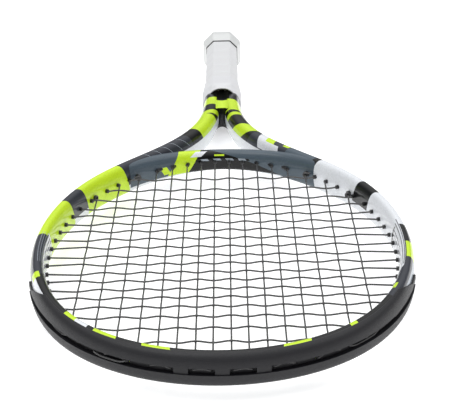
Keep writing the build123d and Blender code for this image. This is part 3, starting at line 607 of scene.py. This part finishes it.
# ---------------------------------------------------------------- the frame's lines
@dataclass(frozen=True)
class FrameLine:
    """Centre line and section sizes of the hairpin tube and the bridge, in millimetres.

    A frame place t is 0 at the tip, 1 at the widest place, 2 where a shaft leaves the hoop,
    3 at its foot, 4 at the top of the straight legs and 5 at their ends. A negative t is the
    same place on the -X side. Places along the racket are distances from the butt face.
    """

    widest: float = 511.0
    hoop_half_width: float = 130.2
    tip_middle: float = 678.1
    tip_fullness: float = 3.4
    bridge: float = 317.5
    leaves_angle: float = 42.0
    pull_hoop: float = 68.0
    pull_grip: float = 125.0
    foot: float = 178.0
    foot_x: float = 8.9
    hairpin: float = 157.0
    hairpin_x: float = 6.6
    hairpin_end: float = 9.0
    hoop_tube: float = 10.6
    shaft_tube: float = 15.2
    leg_tube: float = 10.8
    widens: tuple[float, float] = (262.0, 400.0)
    tip_beam: float = 23.0
    side_beam: float = 26.0
    foot_beam: float = 23.0
    leg_beam: float = 21.0
    tip_slope_from: float = 560.0
    foot_slope_to: float = 330.0
    overall: float = 685.0
    roundness: float = 2.5
    groove_depth: float = 2.7
    groove_width: float = 6.4
    groove_run_out: float = 0.6
    groove_end: float = 331.0
    groove_fade: float = 8.0

    def throat_ellipse(self, angle: float) -> Vector:
        """The hoop's line towards the handle, degrees past the widest place."""
        turn = math.radians(angle)
        return Vector((self.hoop_half_width * math.cos(turn),
                       -self.widest + (self.widest - self.bridge) * math.sin(turn), 0))

    def shaft(self, share: float) -> Vector:
        """Point of the shaft's curve from the hoop's shoulder to its foot.

        Args:
            share: The share of the curve, 0 at the shoulder.

        Returns:
            The point, in millimetres.
        """
        turn = math.radians(self.leaves_angle)
        start = self.throat_ellipse(self.leaves_angle)
        leaving = Vector((-self.hoop_half_width * math.sin(turn),
                          (self.widest - self.bridge) * math.cos(turn), 0)).normalized()
        end = Vector((self.foot_x, -self.foot, 0))
        first = start + leaving * self.pull_hoop
        second = end - Vector((0, self.pull_grip, 0))
        rest = 1 - share
        return (start * rest ** 3 + first * (3 * rest ** 2 * share)
                + second * (3 * rest * share ** 2) + end * share ** 3)

    def middle(self, t: float) -> Vector:
        """Middle of the tube at t.

        Args:
            t: The frame place.

        Returns:
            The point, in millimetres.
        """
        side = -1 if t < 0 else 1
        t = abs(t)
        if t <= 1:
            turn = math.radians(90 * t)
            bulge = self.tip_fullness * math.sin(2 * turn) ** 2 / math.sqrt(2)
            reach = self.tip_middle - self.widest
            point = Vector((self.hoop_half_width * math.sin(turn) + bulge,
                            -self.widest - reach * math.cos(turn) - bulge, 0))
        elif t <= 2:
            point = self.throat_ellipse(self.leaves_angle * (t - 1))
        elif t <= 3:
            point = self.shaft(t - 2)
        elif t <= 4:
            down = self.foot - (t - 3) * (self.foot - self.hairpin)
            x = between(self.hairpin_x, self.foot_x, ease(down, self.hairpin, self.foot))
            point = Vector((x, -down, 0))
        else:
            drop = (t - 4) * (self.hairpin - self.hairpin_end)
            point = Vector((self.hairpin_x, -self.hairpin + drop, 0))
        return Vector((side * point.x, point.y, 0))

    def outward(self, line: Line, t: float, step: float) -> Vector:
        """Unit normal of a line that points away from the strings."""
        along = (line(t + step) - line(t - step)).normalized()
        return Vector((along.y, -along.x, 0))

    def half_width(self, t: float) -> float:
        """Half the tube's width in the plane of the strings.

        Args:
            t: The frame place.

        Returns:
            The half width, in millimetres.
        """
        s = -self.middle(t).y
        shaft = between(self.hoop_tube, self.shaft_tube, 1 - ease(s, *self.widens))
        return between(self.leg_tube, shaft, ease(s, self.hairpin, self.foot)) / 2

    def half_height(self, t: float) -> float:
        """Half the tube's height, square to the strings.

        Args:
            t: The frame place.

        Returns:
            The half height, in millimetres.
        """
        s = -self.middle(t).y
        upper = between(self.side_beam, self.tip_beam,
                        ease(s, self.tip_slope_from, self.overall))
        lower = between(self.foot_beam, upper, ease(s, self.foot, self.foot_slope_to))
        return between(self.leg_beam, lower, ease(s, self.hairpin, self.foot)) / 2

    def groove(self, t: float) -> float:
        """Depth of the string groove, below nought where there is none.

        Args:
            t: The frame place.

        Returns:
            The depth, in millimetres.
        """
        s = -self.middle(t).y
        low, high = self.groove_end - self.groove_fade, self.groove_end + self.groove_fade
        full = self.groove_depth + self.groove_run_out
        return full * ease(s, low, high) - self.groove_run_out


LINE = FrameLine()


@dataclass(frozen=True)
class TubeSection:
    """Rounded section with a groove in its outer side, in millimetres."""

    half_width: float
    half_height: float
    groove_half: float
    groove_depth: float
    roundness: float = LINE.roundness
    steps: int = 46

    def surface(self, up: float) -> float:
        """How far the wall stands out from the middle at a height."""
        share = min(abs(up) / self.half_height, 1.0)
        return self.half_width * (1 - share ** self.roundness) ** (1 / self.roundness)

    def outline(self) -> list[tuple[float, float]]:
        """Points round the section, as (out, up), from the groove's floor over the top.

        Returns:
            The points, always as many and in the same order.
        """
        power = 2 / self.roundness
        start = math.asin((self.groove_half / self.half_height) ** (1 / power))
        points = []
        for turn in spread(start, 2 * math.pi - start, self.steps):
            across, rise = math.cos(turn), math.sin(turn)
            points.append((math.copysign(abs(across) ** power, across) * self.half_width,
                           math.copysign(abs(rise) ** power, rise) * self.half_height))
        floor = self.half_width - max(self.groove_depth, 0.0)
        for up in (-self.groove_half, 0.0, self.groove_half):
            points.append((min(floor, self.surface(up)), up))
        # the middle of the groove's floor comes first, so that the seam hides there
        return points[-2:] + points[:-2]


@dataclass
class LacqueredFrame:
    """The hairpin tube, the web between its shafts and the throat bridge.

    Sizes are in millimetres and degrees; angles of the bridge are past the widest place.
    """

    lacquer: bpy.types.Material
    bridge_lacquer: bpy.types.Material
    ring_step: float = 2.5
    leg_rings: int = 6
    measure_steps: int = 60
    tube_nudge: float = 0.002
    web_sink: float = 2.2
    web_valley: float = 0.045
    web_paint: float = 781.0
    web_round: float = 3.0
    web_tuck: float = 0.1
    web_lean: float = 60.0
    web_bottom: float = 212.0
    web_notch: float = 4.2
    web_reach: float = 1.3
    web_rings: int = 24
    web_round_steps: int = 4
    web_end: float = 150.0
    bridge_rings: int = 100
    bridge_nudge: float = 0.1
    bridge_width: float = 11.0
    bridge_beam: float = 17.0
    bridge_end_beam: float = 25.4
    bridge_end_angle: float = 60.0
    bridge_root_angle: float = 47.0
    bridge_root_sink: float = 0.7
    bridge_groove_width: float = 4.6
    bridge_groove_depth: float = 2.3
    bridge_groove_ends: tuple[float, float] = (34.0, 38.0)

    def rings(self, line: Line, places: Sequence[float], nudge: float,
              section: Callable[[float], TubeSection]) -> tuple[list[Ring], list[float]]:
        """Rings of a section carried along a line.

        Args:
            line: The centre line, in millimetres.
            places: Places along the line.
            nudge: A small step along the line, which gives its direction.
            section: The section at a place.

        Returns:
            The rings in metres, and each point's place round the ring.
        """
        rings = []
        for t in places:
            middle, out = line(t), LINE.outward(line, t, nudge)
            rings.append([(middle + out * o + UP * u) * MM
                          for o, u in section(t).outline()])
        widest = max(rings, key=lambda ring: walked(ring)[-1])
        around = walked(widest)
        return rings, [a - around[-1] / 2 for a in around]

    def tube_places(self) -> list[float]:
        """Frame places about one step apart, from one leg's end to the other's.

        Returns:
            The places in order.
        """
        places = []
        for low in range(5):
            points = [LINE.middle(t) for t in spread(low, low + 1, self.measure_steps)]
            count = max(round(walked(points)[-1] / self.ring_step), 2)
            if low == 4:  # a straight leg needs few rings
                count = self.leg_rings
            places += spread(low, low + 1, count)[1:]
        return [-t for t in reversed(places)] + [0.0] + places

    def tube_section(self, t: float) -> TubeSection:
        """The tube's section at a frame place."""
        return TubeSection(LINE.half_width(t), LINE.half_height(t), LINE.groove_width / 2,
                           LINE.groove(t))

    def web_ring(self, x: float) -> Ring:
        """Section of the web, with a rounded front, at a place across the racket.

        Args:
            x: The place across, in millimetres.

        Returns:
            The section's points, in metres.
        """
        inside = max(self.web_notch ** 2 - x * x, 0.0)
        front = -self.web_bottom - self.web_notch + math.sqrt(inside)
        half = LINE.foot_beam / 2 - self.web_sink + self.web_valley * x * x
        outline = [(front + self.web_round, half), (-self.web_end, half),
                   (-self.web_end, -half), (front + self.web_round, -half)]
        for turn in spread(-self.web_lean, self.web_lean, self.web_round_steps):
            back = self.web_round * (1 - math.cos(math.radians(turn)))
            up = (half - self.web_round * self.web_tuck) * turn / self.web_lean
            outline.append((front + back, up))
        return [Vector((x, y, z)) * MM for y, z in outline]

    def web(self) -> bmesh.types.BMesh:
        """The web between the shafts, with the rounded bottom of the V.

        Returns:
            The web's shape.
        """
        wall = self.web_notch * self.web_reach
        rings = [self.web_ring(x) for x in spread(-wall, wall, self.web_rings)]
        mesh = sweep(rings, [0.0] * len(rings), walked(rings[0]))
        # a shaft's own paint runs on across the web's top; its front stays dark
        laid = mesh.loops.layers.uv["lay"]
        mesh.normal_update()
        for face in mesh.faces:
            level = abs(face.normal.z) > 0.5
            for loop in face.loops:
                spot = loop.vert.co
                loop[laid].uv = (self.web_paint * MM + (spot.y if level else 0), -spot.z)
        return mesh

    def build_tube(self) -> bpy.types.Object:
        """Build the hairpin tube with its web.

        Returns:
            The piece.
        """
        places = self.tube_places()
        rings, around = self.rings(LINE.middle, places, self.tube_nudge,
                                   self.tube_section)
        along = walked([LINE.middle(t) * MM for t in places])
        middle = along[len(places) // 2]
        mesh = sweep(rings, [a - middle for a in along], around)
        web = self.web()
        joined = bpy.data.meshes.new("web")
        web.to_mesh(joined)
        web.free()
        mesh.from_mesh(joined)
        bpy.data.meshes.remove(joined)
        piece = new_piece("frame_tube_lacquered", mesh, self.lacquer)
        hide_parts("frame_tube")
        return piece

    def bridge_section(self, angle: float) -> TubeSection:
        """The bridge's section, which thickens and sinks into the shafts at its roots.

        Args:
            angle: Degrees past the widest place.

        Returns:
            The section.
        """
        off = abs(90 - angle)
        root = 90 - self.bridge_root_angle
        beam = between(self.bridge_beam, self.bridge_end_beam, ease(off, 0.0, root))
        sunk = ease(off, 90 - self.bridge_end_angle, root)
        depth = self.bridge_groove_depth * (1 - ease(off, *self.bridge_groove_ends))
        return TubeSection(self.bridge_width / 2 - self.bridge_root_sink * sunk, beam / 2,
                           self.bridge_groove_width / 2, depth)

    def build_bridge(self) -> bpy.types.Object:
        """Build the throat bridge, its roots sunk into the shafts.

        Returns:
            The piece.
        """
        places = spread(180 - self.bridge_root_angle, self.bridge_root_angle,
                        self.bridge_rings)
        rings, around = self.rings(LINE.throat_ellipse, places, self.bridge_nudge,
                                   self.bridge_section)
        along = [ring[0].x for ring in rings]
        piece = new_piece("throat_bridge_lacquered", sweep(rings, along, around),
                          self.bridge_lacquer)
        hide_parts("throat_bridge")
        return piece

    def build(self) -> list[bpy.types.Object]:
        """Build both pieces."""
        return [self.build_tube(), self.build_bridge()]


# ---------------------------------------------------------------- the handle
@dataclass(frozen=True)
class EightSided:
    """Outline across the handle: an octagon with rounded corners, in millimetres."""

    width: float
    height: float
    bevel: float
    corner: float
    side_points: int = 9
    corner_points: int = 4

    def outline(self) -> list[tuple[float, float, float, float]]:
        """Points round the octagon: each corner's arc, then the side that follows it.

        Returns:
            For each point x, z and the outward direction there.
        """
        w, h, b = self.width / 2, self.height / 2, self.bevel
        corners = [Vector(corner) for corner in (
            (w, -h + b), (w, h - b), (w - b, h), (-w + b, h),
            (-w, h - b), (-w, -h + b), (-w + b, -h), (w - b, -h))]
        sides = [(after - here).normalized()
                 for here, after in zip(corners, corners[1:] + corners[:1])]
        outwards = [Vector((side.y, -side.x)) for side in sides]
        cuts = [self.corner * math.tan(sides[number - 1].angle(sides[number]) / 2)
                for number in range(len(corners))]
        points = []
        for number, here in enumerate(corners):
            following = (number + 1) % len(corners)
            side, out = sides[number], outwards[number]
            before, out_before = sides[number - 1], outwards[number - 1]
            centre = here - before * cuts[number] - out_before * self.corner
            swing = out_before.angle_signed(out)
            for k in range(self.corner_points + 1):
                turn = Matrix.Rotation(-swing * k / self.corner_points, 2)
                leaning = turn @ out_before
                points.append((*(centre + leaning * self.corner), *leaning))
            start = here + side * cuts[number]
            end = corners[following] - side * cuts[following]
            for k in range(1, self.side_points):
                points.append((*start.lerp(end, k / self.side_points), *out))
        return points

    def ring(self, s: float, offset: Callable[[int, int], float] | None = None) -> Ring:
        """The octagon at a place up the handle.

        Args:
            s: Distance from the butt face, in millimetres.
            offset: How far each point stands out, by its number and the count.

        Returns:
            The ring's points, in metres.
        """
        outline = self.outline()
        ring = []
        for number, (x, z, out_x, out_z) in enumerate(outline):
            out = offset(number, len(outline)) if offset else 0.0
            ring.append(Vector((x + out_x * out, -s, z + out_z * out)) * MM)
        return ring


@dataclass(frozen=True)
class Stage:
    """A shape that the collar has at a distance up the handle."""

    s: float
    shape: EightSided


@dataclass
class Handle:
    """Wrap, butt cap and rubber collar, in millimetres, with places from the butt face.

    The cap's badge is the sunk disc in its end face, as the depth of each ring and how far
    it is drawn in. The cap's ease says where its smooth run to the grip starts and ends, as
    shares of that run.
    """

    wrap: bpy.types.Material
    cap: bpy.types.Material
    rubber: bpy.types.Material
    grip: EightSided = EightSided(width=30.6, height=33.4, bevel=7.2, corner=2.2)
    grip_start: float = 22.3
    grip_end: float = 163.0
    grip_thickness: float = 1.8
    grip_rings: int = 150
    seam_pitch: float = 24.0
    seam_width: float = 0.9
    seam_depth: float = 0.42
    pillow: float = 0.22
    edge_run: float = 1.0
    edge_tuck: float = 0.6
    cap_flare: EightSided = EightSided(width=38.2, height=40.6, bevel=10.2, corner=4.0)
    cap_clearance: float = 0.9
    cap_corner: float = 1.6
    cap_rim: float = 1.8
    cap_full: float = 9.0
    cap_end: float = 21.2
    cap_ease: tuple[float, float] = (-0.25, 1.05)
    cap_rings: int = 24
    cap_round_steps: int = 5
    cap_edge: float = 0.3
    cap_edge_run: float = 0.25
    cap_seat: float = 0.8
    cap_badge: tuple[tuple[float, float], ...] = (
        (1.1, 17.0), (1.1, 8.0), (0.9, 7.6), (0.2, 7.2), (0.0, 6.8))
    collar: tuple[Stage, ...] = (
        Stage(141.0, EightSided(31.9, 34.7, 7.4, 2.2)),
        Stage(168.0, EightSided(35.6, 37.4, 9.4, 5.0)),
        Stage(175.0, EightSided(35.2, 33.0, 11.4, 12.0)))
    collar_rings: int = 44
    collar_wall: float = 1.1
    collar_lip: float = 0.6
    collar_lip_steps: int = 6
    collar_inner: tuple[float, float] = (174.0, 163.5)
    collar_inner_rings: int = 10
    collar_thin_run: float = 0.2
    collar_thin_wall: float = 0.64

    def stands_out(self, s: float) -> Callable[[int, int], float]:
        """Relief of the wrap at a place up the handle: pillowed laps with a seam between.

        Args:
            s: The place, in millimetres.

        Returns:
            How far a point stands out, by its number and the count round the handle.
        """
        edge = self.edge_tuck * (1 - min((s - self.grip_start) / self.edge_run, 1.0))

        def offset(number: int, count: int) -> float:
            """Relief at one point of the ring.

            Args:
                number: The point's number round the handle.
                count: How many points the ring has.

            Returns:
                How far the point stands out, in millimetres.
            """
            lap = ((s - self.grip_start) / self.seam_pitch - number / count) % 1.0
            away = min(lap, 1 - lap) * self.seam_pitch
            seam = self.seam_depth * math.exp(-(away / self.seam_width) ** 2)
            return self.pillow * (math.sin(math.pi * lap) - 1) - seam - edge

        return offset

    def build_wrap(self) -> bpy.types.Object:
        """Build the spirally wound base grip with its lapped edges.

        Returns:
            The piece.
        """
        places = spread(self.grip_start, self.grip_end, self.grip_rings)
        inner = EightSided(self.grip.width - 2 * self.grip_thickness,
                           self.grip.height - 2 * self.grip_thickness,
                           self.grip.bevel - self.grip_thickness / 2, self.grip.corner)
        rings = [self.grip.ring(s, self.stands_out(s)) for s in places]
        around = walked(rings[0])
        rings += [inner.ring(s) for s in (self.grip_end, self.grip_start)]
        along = [s * MM for s in (*places, self.grip_end, self.grip_start)]
        piece = new_piece("base_grip_wrap", closed_sweep(rings, along, around), self.wrap)
        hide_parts("base_grip")
        return piece

    def cap_shape(self, share: float, shrink: float) -> EightSided:
        """Outline of the butt cap.

        Args:
            share: How far it flares, from 0 at the grip to 1 at its full width.
            shrink: How far it is drawn in all round, in millimetres.

        Returns:
            The outline.
        """
        flare, clearance = self.cap_flare, self.cap_clearance
        corner = (between(self.cap_corner, flare.corner, share)
                  * (1 - 2 * shrink / flare.width))
        return EightSided(
            between(self.grip.width + clearance, flare.width, share) - 2 * shrink,
            between(self.grip.height + clearance, flare.height, share) - 2 * shrink,
            between(self.grip.bevel, flare.bevel, share) - shrink / 2, corner)

    def cap_profile(self) -> list[tuple[float, float, float]]:
        """Profile of the butt cap, from the middle of its end face to the grip.

        Returns:
            For each ring its distance from the butt face, how far it flares and how far
            it is drawn in.
        """
        leans = [math.radians(turn) for turn in spread(0, 90, self.cap_round_steps)]
        profile = [(sunk, 1.0, inset) for sunk, inset in self.cap_badge]
        # a thin lip at the edge of the end face, then the rounded rim behind it
        profile += [(self.cap_rim * (1 - math.sin(lean)) if lean else 0.0, 1.0,
                     self.cap_rim * (1 - math.sin(lean))) for lean in leans]
        profile += [(self.cap_rim * (1 - math.cos(lean)), 1.0,
                     self.cap_rim * (1 - math.sin(lean))) for lean in leans]
        profile += [(between(self.cap_full, self.cap_end, share),
                     1 - ease(share, *self.cap_ease), 0.0)
                    for share in spread(0, 1, self.cap_rings)]
        foot = self.cap_end + self.cap_edge_run
        return profile + [(foot, 0.0, self.cap_edge),
                          (foot, 0.0, self.grip_thickness + self.cap_seat)]

    def build_cap(self) -> bpy.types.Object:
        """Build the butt cap: a rounded rim, a full flare and a smooth run to the grip.

        Returns:
            The piece.
        """
        profile = self.cap_profile()
        rings = [self.cap_shape(share, shrink).ring(s) for s, share, shrink in profile]
        mesh = sweep(rings, [s * MM for s, _, _ in profile], walked(rings[-1]))
        # half the usual distance, as the rings of the rim lie close together
        bmesh.ops.remove_doubles(mesh, verts=mesh.verts, dist=MERGE_MM / 2 * MM)
        piece = new_piece("butt_cap_moulded", mesh, self.cap)
        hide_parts("butt_cap")
        return piece

    def collar_shape(self, s: float, inset: float) -> EightSided:
        """Outline of the collar at a place up the handle.

        Args:
            s: The place, in millimetres.
            inset: How far it is drawn in from the collar's outer side.

        Returns:
            The outline.
        """
        s = min(max(s, self.collar[0].s), self.collar[-1].s)
        low, high = next(pair for pair in zip(self.collar, self.collar[1:])
                         if s <= pair[1].s)
        a, b, share = low.shape, high.shape, ease(s, low.s, high.s)
        return EightSided(between(a.width, b.width, share) - 2 * inset,
                          between(a.height, b.height, share) - 2 * inset,
                          between(a.bevel, b.bevel, share) - inset / 2,
                          between(a.corner, b.corner, share))

    def build_collar(self) -> bpy.types.Object:
        """Build the rubber collar: a thin edge on the grip, a full band and an open rim.

        Returns:
            The piece.
        """
        start, end = self.collar[0].s, self.collar[-1].s - self.collar_lip
        profile = [(s, 0.0) for s in spread(start, end, self.collar_rings)]
        for turn in spread(0, 180, self.collar_lip_steps):
            lean = math.radians(turn)
            profile.append((end + self.collar_wall / 2 * math.sin(lean),
                            self.collar_wall / 2 * (1 - math.cos(lean))))
        profile += [(s, self.collar_wall)
                    for s in spread(*self.collar_inner, self.collar_inner_rings)]
        profile.append((start + self.collar_thin_run, self.collar_thin_wall))
        rings = [self.collar_shape(s, inset).ring(s) for s, inset in profile]
        mesh = closed_sweep(rings, [s * MM for s, _ in profile], walked(rings[0]))
        piece = new_piece("grip_collar_rubber", mesh, self.rubber)
        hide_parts("grip_collar")
        return piece

    def build(self) -> list[bpy.types.Object]:
        """Build the three pieces."""
        return [self.build_wrap(), self.build_cap(), self.build_collar()]


# ---------------------------------------------------------------- the paint scheme
def panels(*stretches: tuple[float, Hue]) -> tuple[Panel, ...]:
    """Panels from pairs of a starting place and a colour."""
    return tuple(Panel(start, hue) for start, hue in stretches)


def frame_lacquer() -> PanelLacquer:
    """Gloss polyurethane lacquer over moulded carbon laminate: deep, wet reflections.

    Returns:
        The finish.
    """
    over = panels(
        (-800, Hue.BLACK), (-551, Hue.LIME), (-508, Hue.BLACK), (-492, Hue.GRAPHITE),
        (-403, Hue.LIME), (-344, Hue.GRAPHITE), (-324, Hue.LIME), (-260, Hue.GRAPHITE),
        (-188, Hue.BLACK), (-130, Hue.LIME), (-116, Hue.WHITE), (-104, Hue.BLACK),
        (-97, Hue.LIME), (-75, Hue.BLACK), (-58, Hue.LIME), (-42, Hue.BLACK),
        (38, Hue.LIME), (62, Hue.BLACK), (88, Hue.LIME), (97, Hue.BLACK),
        (142, Hue.GRAPHITE), (230, Hue.BLACK), (261, Hue.WHITE), (325, Hue.BLACK),
        (344, Hue.WHITE), (404, Hue.BLACK), (411, Hue.SLATE), (440, Hue.GRAPHITE),
        (492, Hue.BLACK))
    under = panels(
        (-800, Hue.BLACK), (-560, Hue.WHITE), (-403, Hue.LIME), (-344, Hue.WHITE),
        (-324, Hue.LIME), (-260, Hue.SLATE), (-147, Hue.WHITE), (-60, Hue.SLATE),
        (60, Hue.WHITE), (160, Hue.SLATE), (261, Hue.WHITE), (560, Hue.BLACK))
    wall, outer, top = (-9, 9), (-40, -18), (-40, -2)
    right_shaft = (
        Patch(Hue.WHITE, (446, 474), (-11, -3), shear=0.4),
        Patch(Hue.WHITE, (461, 472), (-40, -11), shear=0.6),
        Patch(Hue.LIME, (450, 461), (-40, -11), shear=0.6),
        Patch(Hue.LIME, (440, 447), (-17, -13)))
    undersides = (
        Patch(Hue.WHITE, (430, 590), (-2, 16)),
        Patch(Hue.WHITE, (-590, -430), (-2, 16)))
    left_side = (
        Patch(Hue.WHITE, (-258, -188), wall),
        Patch(Hue.GRAPHITE, (-256, -194), wall, pitch=3.0, share=0.4, lengthwise=True),
        Patch(Hue.MIST, (-256, -204), (-15, -9), pitch=2.0, share=0.15, lengthwise=True),
        Patch(Hue.WHITE, (-183, -147), outer),
        Patch(Hue.LIME, (-187, -178), (-22, -14)))
    right_side = (
        Patch(Hue.WHITE, (150, 258), wall),
        Patch(Hue.WHITE, (158, 244), (-13, -9), shear=2.2),
        Patch(Hue.GRAPHITE, (166, 258), (-9, 4), pitch=3.4, share=0.3, lengthwise=True),
        Patch(Hue.GRAPHITE, (162, 240), (-13, -9), shear=2.2, pitch=2.1, share=0.3,
              lengthwise=True),
        Patch(Hue.LIME, (150, 158), (-14, 2)),
        Patch(Hue.LIME, (201, 227), (-24, -14)),
        Patch(Hue.MIST, (150, 199), (-40, -21)))
    throat = (
        Patch(Hue.LIME, (-600, -580), top, shear=0.5),
        Patch(Hue.LIME, (-573, -563), (-19, -2), shear=1.2),
        Patch(Hue.MIST, (-494, -430), (-15, -4), shear=0.9, pitch=11.0, share=0.045),
        Patch(Hue.LIME, (508, 530), (-22, -2), shear=-1.1),
        Patch(Hue.LIME, (548, 556), (-18, -2), shear=-0.5),
        Patch(Hue.LIME, (568, 599), top, shear=-0.9))
    return PanelLacquer("gloss_lacquer_on_carbon_tube", over=over, under=under,
                        patches=right_shaft + undersides + left_side + right_side + throat)


def bridge_lacquer() -> PanelLacquer:
    """The same lacquer on the bridge, with panels across the throat.

    Returns:
        The finish.
    """
    over = panels((-800, Hue.SLATE), (-44, Hue.LIME), (-31, Hue.BLACK), (100, Hue.SLATE))
    under = panels((-800, Hue.WHITE), (-20, Hue.SLATE), (20, Hue.WHITE))
    dashes = ((-20, 26), (-3, -0.5))
    patches = (
        Patch(Hue.SLATE, (24, 120), (-20, 20), shear=-2.6),
        Patch(Hue.WHITE, (-35, -25), (-12, -6), shear=1.0),
        Patch(Hue.LIME, (-56, -50), (0, 8), shear=-0.5),
        Patch(Hue.LIME, (-7, 2), (-8, -6)),
        Patch(Hue.MIST, *dashes, shear=-0.63),
        Patch(Hue.BLACK, *dashes, shear=-0.63, pitch=11.4, share=0.42))
    return PanelLacquer("gloss_lacquer_on_bridge", over=over, under=under, patches=patches,
                        slant=0.48, mirrored=False, parting_mm=-8.0)


def dress_cad_nodes(nodes: dict[str, bpy.types.Object]) -> None:
    """Give the CAD pieces that stay visible their finishes.

    Args:
        nodes: The frame's CAD objects by name.
    """
    dressed = {
        GUARD_NYLON: ("bumper_guard",),
        GROMMET_NYLON: ("right_grommet_strip", "left_grommet_strip", "bridge_grommet_strip"),
        STRING_POLYESTER: ("main_string", "cross_string"),
        HANDLE_FOAM: ("handle_foam", "leg_plugs"),
        STAPLE_STEEL: ("butt_cap_staples", "grip_staple"),
        TAPE_VINYL: ("finishing_tape",)}
    for finish, names in dressed.items():
        material = finish.make()
        for name in names:
            for place in nodes[name].material_slots:
                place.material = material
            LOG.info("%s: finish %s", name, material.name)


# ---------------------------------------------------------------- studio
@dataclass(frozen=True)
class SoftLight:
    """A square area light: its name, place and side in metres, and power in watts."""

    name: str
    place: tuple[float, float, float]
    side: float
    watts: float


@dataclass
class Studio:
    """White floor, soft lights and the camera; places in metres, angles in degrees."""

    focal_mm: float = 119.18
    sensor_mm: float = 36.0
    place: tuple[float, float, float] = (0.007698, -1.47978, 0.43803)
    sees_to: float = 50.0
    pitch: float = 22.489
    roll: float = -1.1454
    yaw: float = -0.3183
    floor_drop: float = 0.0215
    floor_size: float = 12.0
    horizon: float = 0.15
    zenith: float = 1.5
    dome_rise: tuple[float, float] = (0.2, 0.95)
    lit_point: tuple[float, float, float] = (0.0, -0.4, 0.0)
    lights: tuple[SoftLight, ...] = (
        SoftLight("key", (-0.9, -1.0, 1.6), 1.2, 8.0),
        SoftLight("fill", (1.3, -0.6, 1.3), 1.2, 4.0),
        SoftLight("top", (0.1, 0.3, 1.9), 1.4, 5.0))

    def camera(self) -> bpy.types.Object:
        """Set up the camera over the tip, looking towards the handle.

        Returns:
            The camera.
        """
        data = bpy.data.cameras.new("camera")
        data.lens = self.focal_mm
        data.sensor_width = self.sensor_mm
        data.clip_end = self.sees_to
        camera = bpy.data.objects.new("camera", data)
        pitch, roll, yaw = (math.radians(a) for a in (self.pitch, self.roll, self.yaw))
        ahead = Vector((math.sin(yaw) * math.cos(pitch), math.cos(yaw) * math.cos(pitch),
                        -math.sin(pitch)))
        right = Vector((math.cos(yaw), -math.sin(yaw), 0))
        above = right.cross(ahead)
        right, above = (math.cos(roll) * right + math.sin(roll) * above,
                        -math.sin(roll) * right + math.cos(roll) * above)
        turned = Matrix((right, above, -ahead)).transposed().to_4x4()
        camera.matrix_world = Matrix.Translation(self.place) @ turned
        bpy.context.scene.collection.objects.link(camera)
        bpy.context.scene.camera = camera
        return camera

    def floor(self) -> bpy.types.Object:
        """Lay the white floor under the racket.

        Returns:
            The floor.
        """
        mesh = bmesh.new()
        bmesh.ops.create_grid(mesh, x_segments=1, y_segments=1, size=self.floor_size / 2)
        bmesh.ops.translate(mesh, verts=mesh.verts, vec=(0, 0, -self.floor_drop))
        data = bpy.data.meshes.new("floor")
        mesh.to_mesh(data)
        mesh.free()
        floor = bpy.data.objects.new("floor", data)
        bpy.context.scene.collection.objects.link(floor)
        data.materials.append(FLOOR_CARD.make())
        return floor

    def hang(self, light: SoftLight) -> bpy.types.Object:
        """Hang a soft light that faces the hoop's middle.

        Args:
            light: The light.

        Returns:
            Its object.
        """
        data = bpy.data.lights.new(light.name, "AREA")
        data.shape = "SQUARE"
        data.size = light.side
        data.energy = light.watts
        hung = bpy.data.objects.new(light.name, data)
        aim = Vector(self.lit_point) - Vector(light.place)
        hung.matrix_world = (Matrix.Translation(light.place)
                             @ aim.to_track_quat("-Z", "Y").to_matrix().to_4x4())
        bpy.context.scene.collection.objects.link(hung)
        return hung

    def surround(self) -> bpy.types.World:
        """Light the scene from a dome, dim near the horizon, that the camera sees as white.

        Returns:
            The world.
        """
        world = bpy.data.worlds.new("surround")
        bpy.context.scene.world = world
        world.use_nodes = True
        tree = world.node_tree
        tree.nodes.clear()
        seen = add(tree, "ShaderNodeTexCoord").outputs["Generated"]
        height = add(tree, "ShaderNodeSeparateXYZ", {"Vector": seen}).outputs["Z"]
        low, high = self.dome_rise
        glow = add(tree, "ShaderNodeMapRange", {
            "Value": height, "From Min": low, "From Max": high, "To Min": self.horizon,
            "To Max": self.zenith})
        ray = add(tree, "ShaderNodeLightPath").outputs["Is Camera Ray"]
        shown = add(tree, "ShaderNodeMath", {0: glow.outputs["Result"], 1: ray},
                    operation="MAXIMUM").outputs["Value"]
        background = add(tree, "ShaderNodeBackground", {
            "Color": linear(Hue.FLOOR), "Strength": shown})
        add(tree, "ShaderNodeOutputWorld", {"Surface": background.outputs["Background"]})
        return world

    def build(self) -> None:
        """Set up the camera, the floor, the lights and the surround."""
        self.camera()
        self.floor()
        for light in self.lights:
            self.hang(light)
        self.surround()
        bpy.context.scene.view_settings.view_transform = "Standard"


def main() -> None:
    """Build the racket round the CAD frame and report each piece."""
    logging.basicConfig(level=logging.INFO, format="%(name)s: %(message)s")
    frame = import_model()
    pieces = LacqueredFrame(frame_lacquer().make(), bridge_lacquer().make()).build()
    pieces += Handle(GRIP_FILM.make(), CAP_ACETAL.make(), COLLAR_RUBBER.make()).build()
    for piece in pieces:
        LOG.info("%s: %d faces", piece.name, len(piece.data.polygons))
    dress_cad_nodes(frame["nodes"])
    Studio().build()


if __name__ == "__main__":
    main()
